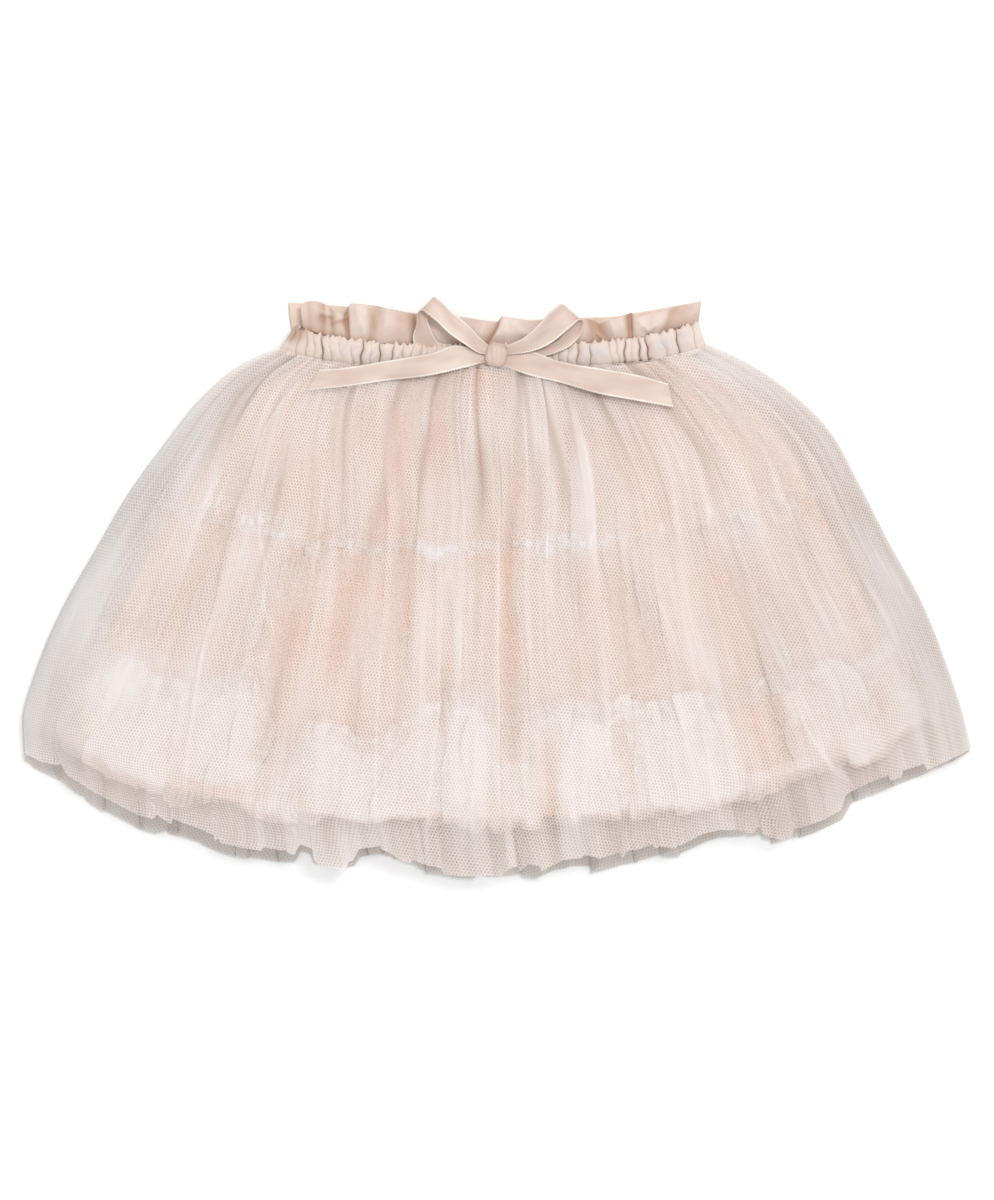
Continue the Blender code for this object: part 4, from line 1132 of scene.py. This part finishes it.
def heading(name, pleats, top, tucks, lift, share, lean, shaded, material):
    """The ruffle above the casing: two layers of cotton folded at the top, held in gathers at the seam. It
    stands lift above the surface, with so large a share of its folds' heights, and shaded is how dark the
    shade painted into its low places and hollows is."""
    height = (np.linspace(0.0, 1.0, HEADING_ROWS)[:, None]) ** 0.9
    across = np.linspace(0.0, 1.0, 560)[None, :]
    x, y = waist_seam(CASING_TOP, across)
    tall = np.interp(x, [row[0] for row in top], [row[1] for row in top]) - y
    folds = np.array(pleats)
    z = np.array([np.interp(x[0], mix(folds[:, 1], folds[:, 0], at[0]), folds[:, 2]) for at in height])
    soft = np.array((1.0, 4.0, 6.0, 4.0, 1.0)) / 16.0
    z = np.array([np.convolve(np.pad(row, 2, mode="edge"), soft, "valid") for row in z])
    # Painted shade: darker where the folds lie low and in their hollows, a little uneven.
    deep = 0.05 + 0.60 * clamp(1.0 - z / 4.0) + 0.22 * hollow(z, 14)
    deep = deep + 0.10 * grain(55, 22, 2, across, height)
    z = z * (0.15 + 0.85 * smoothstep(0.0, 0.55, height))
    z = z + 0.3 * grain(54, 40, 2, across, height) * smoothstep(0.1, 0.6, height)
    x = x + height * 1.5 * (2.0 * across - 1.0) + lean * (1.0 - across) ** 8
    y = y + tall * height
    for from_x, from_y, to_x, to_y, width, rise in tucks:
        far = np.hypot(to_x - from_x, to_y - from_y)
        along_x, along_y = (to_x - from_x) / far, (to_y - from_y) / far
        along = np.clip((x - from_x) * along_x + (y - from_y) * along_y, 0.0, far)
        off_x, off_y = x - from_x - along * along_x, y - from_y - along * along_y
        z = z + rise * np.exp(-(off_x**2 + off_y**2) / width**2)
        # Each tuck paints shade beside it: below a raised tuck, whose top is lightened, and along a sunken
        # one.
        below = np.exp(-(off_x**2 + (off_y + 1.7 * width * (rise > 0.0)) ** 2) / width**2)
        deep = deep + 0.20 * abs(rise) * below - 0.12 * rise * np.exp(-(off_x**2 + off_y**2) / width**2)
    # More painted shade along the seam at the foot.
    deep = shaded * np.clip(deep + 0.30 * bell(height / 0.14), 0.0, 0.8)
    points = grid(x, y - 0.08 * z * height, lift + share * z)
    points[..., 2] = np.maximum(points[..., 2], lift - 0.3)
    run = run_along(points[HEADING_RUN_ROW])
    spread = grid(run[None, :], HEADING_HEIGHT * height)
    made = sheet_from(name + "_cotton", points, spread, material, up=False, deep=deep)
    made = thicken(made, HEADING_THICKNESS)
    finish_piece(made, name)


heading("heading_front", FRONT_PLEATS, FRONT_TOP, FRONT_TUCKS, 5.6, 1.0, 2.6, 1.0, WAIST_COTTON)
heading("heading_back", BACK_PLEATS, BACK_TOP, (), 0.6, 0.9, -3.4, 0.35, BACK_COTTON)


# ---------------------------------------------------------------- bow

# The ribbon's two edges at each crossing: ax ay az, bx by bz.
TAIL_LEFT = (
    (-1.0, 115.0, 10.6, -1.0, 113.6, 11.2), (-6.5, 117.6, 11.2, -6.3, 112.9, 12.0),
    (-16.6, 120.8, 11.8, -13.0, 111.0, 13.0), (-33.0, 116.8, 13.6, -32.8, 106.4, 14.8),
    (-54.0, 113.2, 13.8, -53.4, 103.9, 15.0), (-74.5, 109.8, 14.0, -72.0, 101.2, 15.6),
    (-87.8, 108.8, 14.2, -94.5, 98.7, 15.8),
)
TAIL_RIGHT = (
    (0.0, 115.2, 11.0, 0.0, 112.6, 12.0), (6.5, 116.6, 11.6, 5.6, 110.6, 12.8),
    (16.0, 118.3, 12.2, 16.0, 106.8, 14.0), (31.3, 113.2, 13.8, 31.3, 103.0, 16.0),
    (52.2, 109.4, 14.4, 52.2, 97.0, 17.8), (70.0, 106.3, 15.0, 68.0, 94.0, 18.8),
    (86.2, 101.8, 15.8, 88.8, 90.3, 18.4),
)
LOOP_LEFT = (
    (-1.0, 119.0, 11.8, -1.4, 117.0, 12.4), (-6.4, 123.6, 12.1, -6.8, 117.2, 13.1),
    (-14.8, 132.0, 13.3, -14.8, 121.6, 15.2), (-22.2, 138.0, 14.3, -23.4, 127.6, 16.4),
    (-28.2, 143.6, 14.5, -30.2, 134.0, 16.8), (-31.4, 145.0, 13.7, -36.2, 138.6, 16.3),
    (-34.6, 139.6, 12.2, -38.8, 137.2, 13.4), (-34.2, 134.0, 11.2, -39.4, 131.4, 11.6),
    (-32.0, 128.0, 9.6, -41.2, 125.4, 9.4), (-29.4, 123.6, 8.0, -39.0, 119.0, 7.2),
    (-23.0, 121.6, 8.0, -27.0, 117.0, 7.4), (-14.0, 120.6, 9.8, -16.6, 117.0, 10.0),
    (-2.0, 119.0, 11.4, -2.0, 115.8, 11.8),
)
LOOP_RIGHT = (
    (1.0, 119.0, 11.9, 1.2, 116.8, 12.5), (7.4, 121.6, 12.1, 8.0, 117.0, 13.1),
    (14.6, 125.0, 13.1, 18.0, 118.4, 15.0), (22.9, 132.6, 14.3, 27.8, 122.6, 16.4),
    (29.8, 139.6, 14.5, 37.2, 130.2, 16.6), (33.6, 141.6, 13.5, 42.0, 134.0, 15.0),
    (37.0, 138.0, 12.0, 43.8, 132.6, 13.0), (37.4, 131.6, 11.6, 42.4, 127.2, 12.0),
    (33.2, 125.2, 11.2, 37.4, 121.4, 12.2), (25.0, 120.8, 11.2, 27.0, 116.8, 12.4),
    (14.0, 119.6, 11.4, 14.4, 115.6, 12.2), (1.6, 118.0, 11.6, 1.6, 115.6, 12.0),
)
RIBBON_ACROSS = np.array((0.0, 0.04, 0.14, 0.3, 0.5, 0.7, 0.86, 0.96, 1.0))
RIBBON_CROWN = 0.35
PICOT_SPACING = 1.3
PICOT_REACH = 0.5
PICOT_SAMPLES = 3
RIBBON_WALL = 0.28
LOOP_SHADE = (0.4, 0.25, 0.0, 0.0, 0.0, 0.15, 0.25, 0.15, 0.10, 0.15, 0.30, 0.4, 0.5)


def ribbon(node, crossings, shade):
    """A length of ribbon through its crossings, slightly crowned, with picot loops along both edges."""
    table = np.array(crossings)
    middle = (table[:, :3] + table[:, 3:]) / 2.0
    reach = run_along(middle)
    count = round(reach[-1] / PICOT_SPACING) * PICOT_SAMPLES + 1
    at = np.linspace(0.0, reach[-1], count)
    a, b = (
        np.stack([smooth_through(reach, table[:, i], at) for i in columns], axis=-1)[None]
        for columns in ((0, 1, 2), (3, 4, 5))
    )
    share = RIBBON_ACROSS[:, None, None]
    points = mix(a, b, share)
    points[..., 2] += RIBBON_CROWN * (1.0 - (2.0 * share[..., 0] - 1.0) ** 2)
    points[..., 2] += 0.12 * np.sin(at / 5.3 + 2.0 * share[..., 0])
    outward = (b - a) / np.linalg.norm(b - a, axis=-1, keepdims=True)
    loops = PICOT_REACH * np.abs(np.sin(pi * np.arange(count) / PICOT_SAMPLES))[:, None]
    points[0] -= outward[0] * loops
    points[-1] += outward[0] * loops
    spread = grid(at[None, :], RIBBON_WIDTH * share[..., 0])
    # Painted shade along the ribbon, from its shade values.
    deep = np.interp(at, reach, shade)[None, :]
    made = thicken(sheet_from(node + "_satin", points, spread, RIBBON_SATIN, deep=deep), RIBBON_WALL)
    finish_piece(made, node)


# The last values are the painted shade along each ribbon, darkest near the knot and inside the loops.
ribbon("bow_tail_left", TAIL_LEFT, (0.5, 0.3, 0.0, 0.05, 0.0, 0.0, 0.0))
ribbon("bow_tail_right", TAIL_RIGHT, (0.4, 0.2, 0.0, 0.05, 0.05, 0.0, 0.0))
ribbon("bow_loop_left", LOOP_LEFT, LOOP_SHADE)
ribbon("bow_loop_right", LOOP_RIGHT, LOOP_SHADE[:12])

KNOT_PLACE = (0.4, 116.6, 12.3)
KNOT_SIZE = (10.8, 11.8, 4.8)
KNOT_TILT = -0.2
KNOT_SQUARENESS = 0.8
KNOT_TURN = 26.0
KNOT_FOLDS = ((-0.55, 0.30), (-0.05, 0.15), (0.45, 0.40))


def knot():
    """The ribbon's turn round the middle of the bow, pinched at its ends and creased along."""
    around = np.linspace(0.0, TURN, 73)[None, :]
    along = np.linspace(-1.0, 1.0, 25)[:, None]
    pinch = (1.0 - 0.22 * np.abs(along) ** 2.4) * np.sqrt(clamp(1.0 - (along * 0.9) ** 6))
    cos, sin = np.cos(around), np.sin(around)
    x = np.sign(cos) * np.abs(cos) ** KNOT_SQUARENESS * KNOT_SIZE[0] / 2.0 * pinch
    z = np.sign(sin) * np.abs(sin) ** KNOT_SQUARENESS * KNOT_SIZE[2] / 2.0 * pinch
    for place, deep in KNOT_FOLDS:
        off = (x / (KNOT_SIZE[0] / 2.0) - place + 0.3 * along) / 0.14
        z = z - deep * bell(off) * (sin > 0.0)
    y = along * KNOT_SIZE[1] / 2.0 + 0.0 * around
    turn_x = x * np.cos(KNOT_TILT) - y * np.sin(KNOT_TILT)
    turn_y = x * np.sin(KNOT_TILT) + y * np.cos(KNOT_TILT)
    points = grid(turn_x, turn_y, z) + np.array(KNOT_PLACE)
    width = (along + 1.0) / 2.0 * RIBBON_WIDTH
    spread = grid(around / TURN * KNOT_TURN, width)
    # Painted shade at the knot's pinched ends and along the sides where it turns under.
    deep = 0.45 * np.abs(along) ** 3 + 0.35 * np.abs(cos) ** 4
    made = thicken(sheet_from("bow_knot_satin", points, spread, RIBBON_SATIN, deep=deep), RIBBON_WALL)
    finish_piece(made, "bow_knot")


knot()


# ---------------------------------------------------------------- light, floor and camera

FRAME_HEIGHT = 600.0
FRAME_CENTRE = (0.75, -6.0)
FOCUS_HEIGHT = 12.0
LENS = 130.0
SENSOR = 36.0
WORLD_LIGHT = 0.80
PAPER_HEIGHT = -0.6
NET_LAYERS_SEEN_THROUGH = 48

bpy.ops.object.select_all(action="DESELECT")
bpy.ops.mesh.primitive_plane_add(size=6.0, location=(0.0, 0.0, PAPER_HEIGHT * MM))
floor = bpy.context.active_object
floor.name = "floor"
paper = new_material("matt white paper")
sheet = add(paper, "BsdfDiffuse", {"Color": linear("#FAFAFA")})
add(paper, "OutputMaterial", {}, {"Surface": sheet.outputs[0]})
floor.data.materials.append(paper)

world = bpy.data.worlds.new("studio")
bpy.context.scene.world = world
world.use_nodes = True
background = world.node_tree.nodes["Background"]
background.inputs["Color"].default_value = (1.0, 1.0, 1.0, 1.0)
background.inputs["Strength"].default_value = WORLD_LIGHT


def softbox(name, place, aim, size, power):
    """A round soft lamp that faces its aim and isn't seen itself."""
    bpy.ops.object.light_add(type="AREA", location=place)
    lamp = bpy.context.active_object
    lamp.name = name
    lamp.data.shape = "DISK"
    lamp.data.size = size
    lamp.data.energy = power
    away = np.array(place) - np.array(aim)
    flat = float(np.hypot(away[0], away[1]))
    lamp.rotation_euler = (atan2(flat, away[2]), 0.0, atan2(away[0], -away[1]))
    lamp.visible_camera = False


softbox("key softbox", (0.65, 0.9, 2.5), (0.0, 0.0, 0.0), 0.9, 35.5)

view = bpy.data.cameras.new("camera")
camera = bpy.data.objects.new("camera", view)
bpy.context.scene.collection.objects.link(camera)
view.lens = LENS
view.sensor_width = SENSOR
distance = FRAME_HEIGHT / SENSOR * LENS
camera.location = (FRAME_CENTRE[0] * MM, FRAME_CENTRE[1] * MM, (FOCUS_HEIGHT + distance) * MM)
view.clip_start = 0.05
view.clip_end = 20.0
bpy.context.scene.camera = camera

bpy.context.scene.view_settings.view_transform = "Standard"
bpy.context.scene.cycles.transparent_max_bounces = NET_LAYERS_SEEN_THROUGH
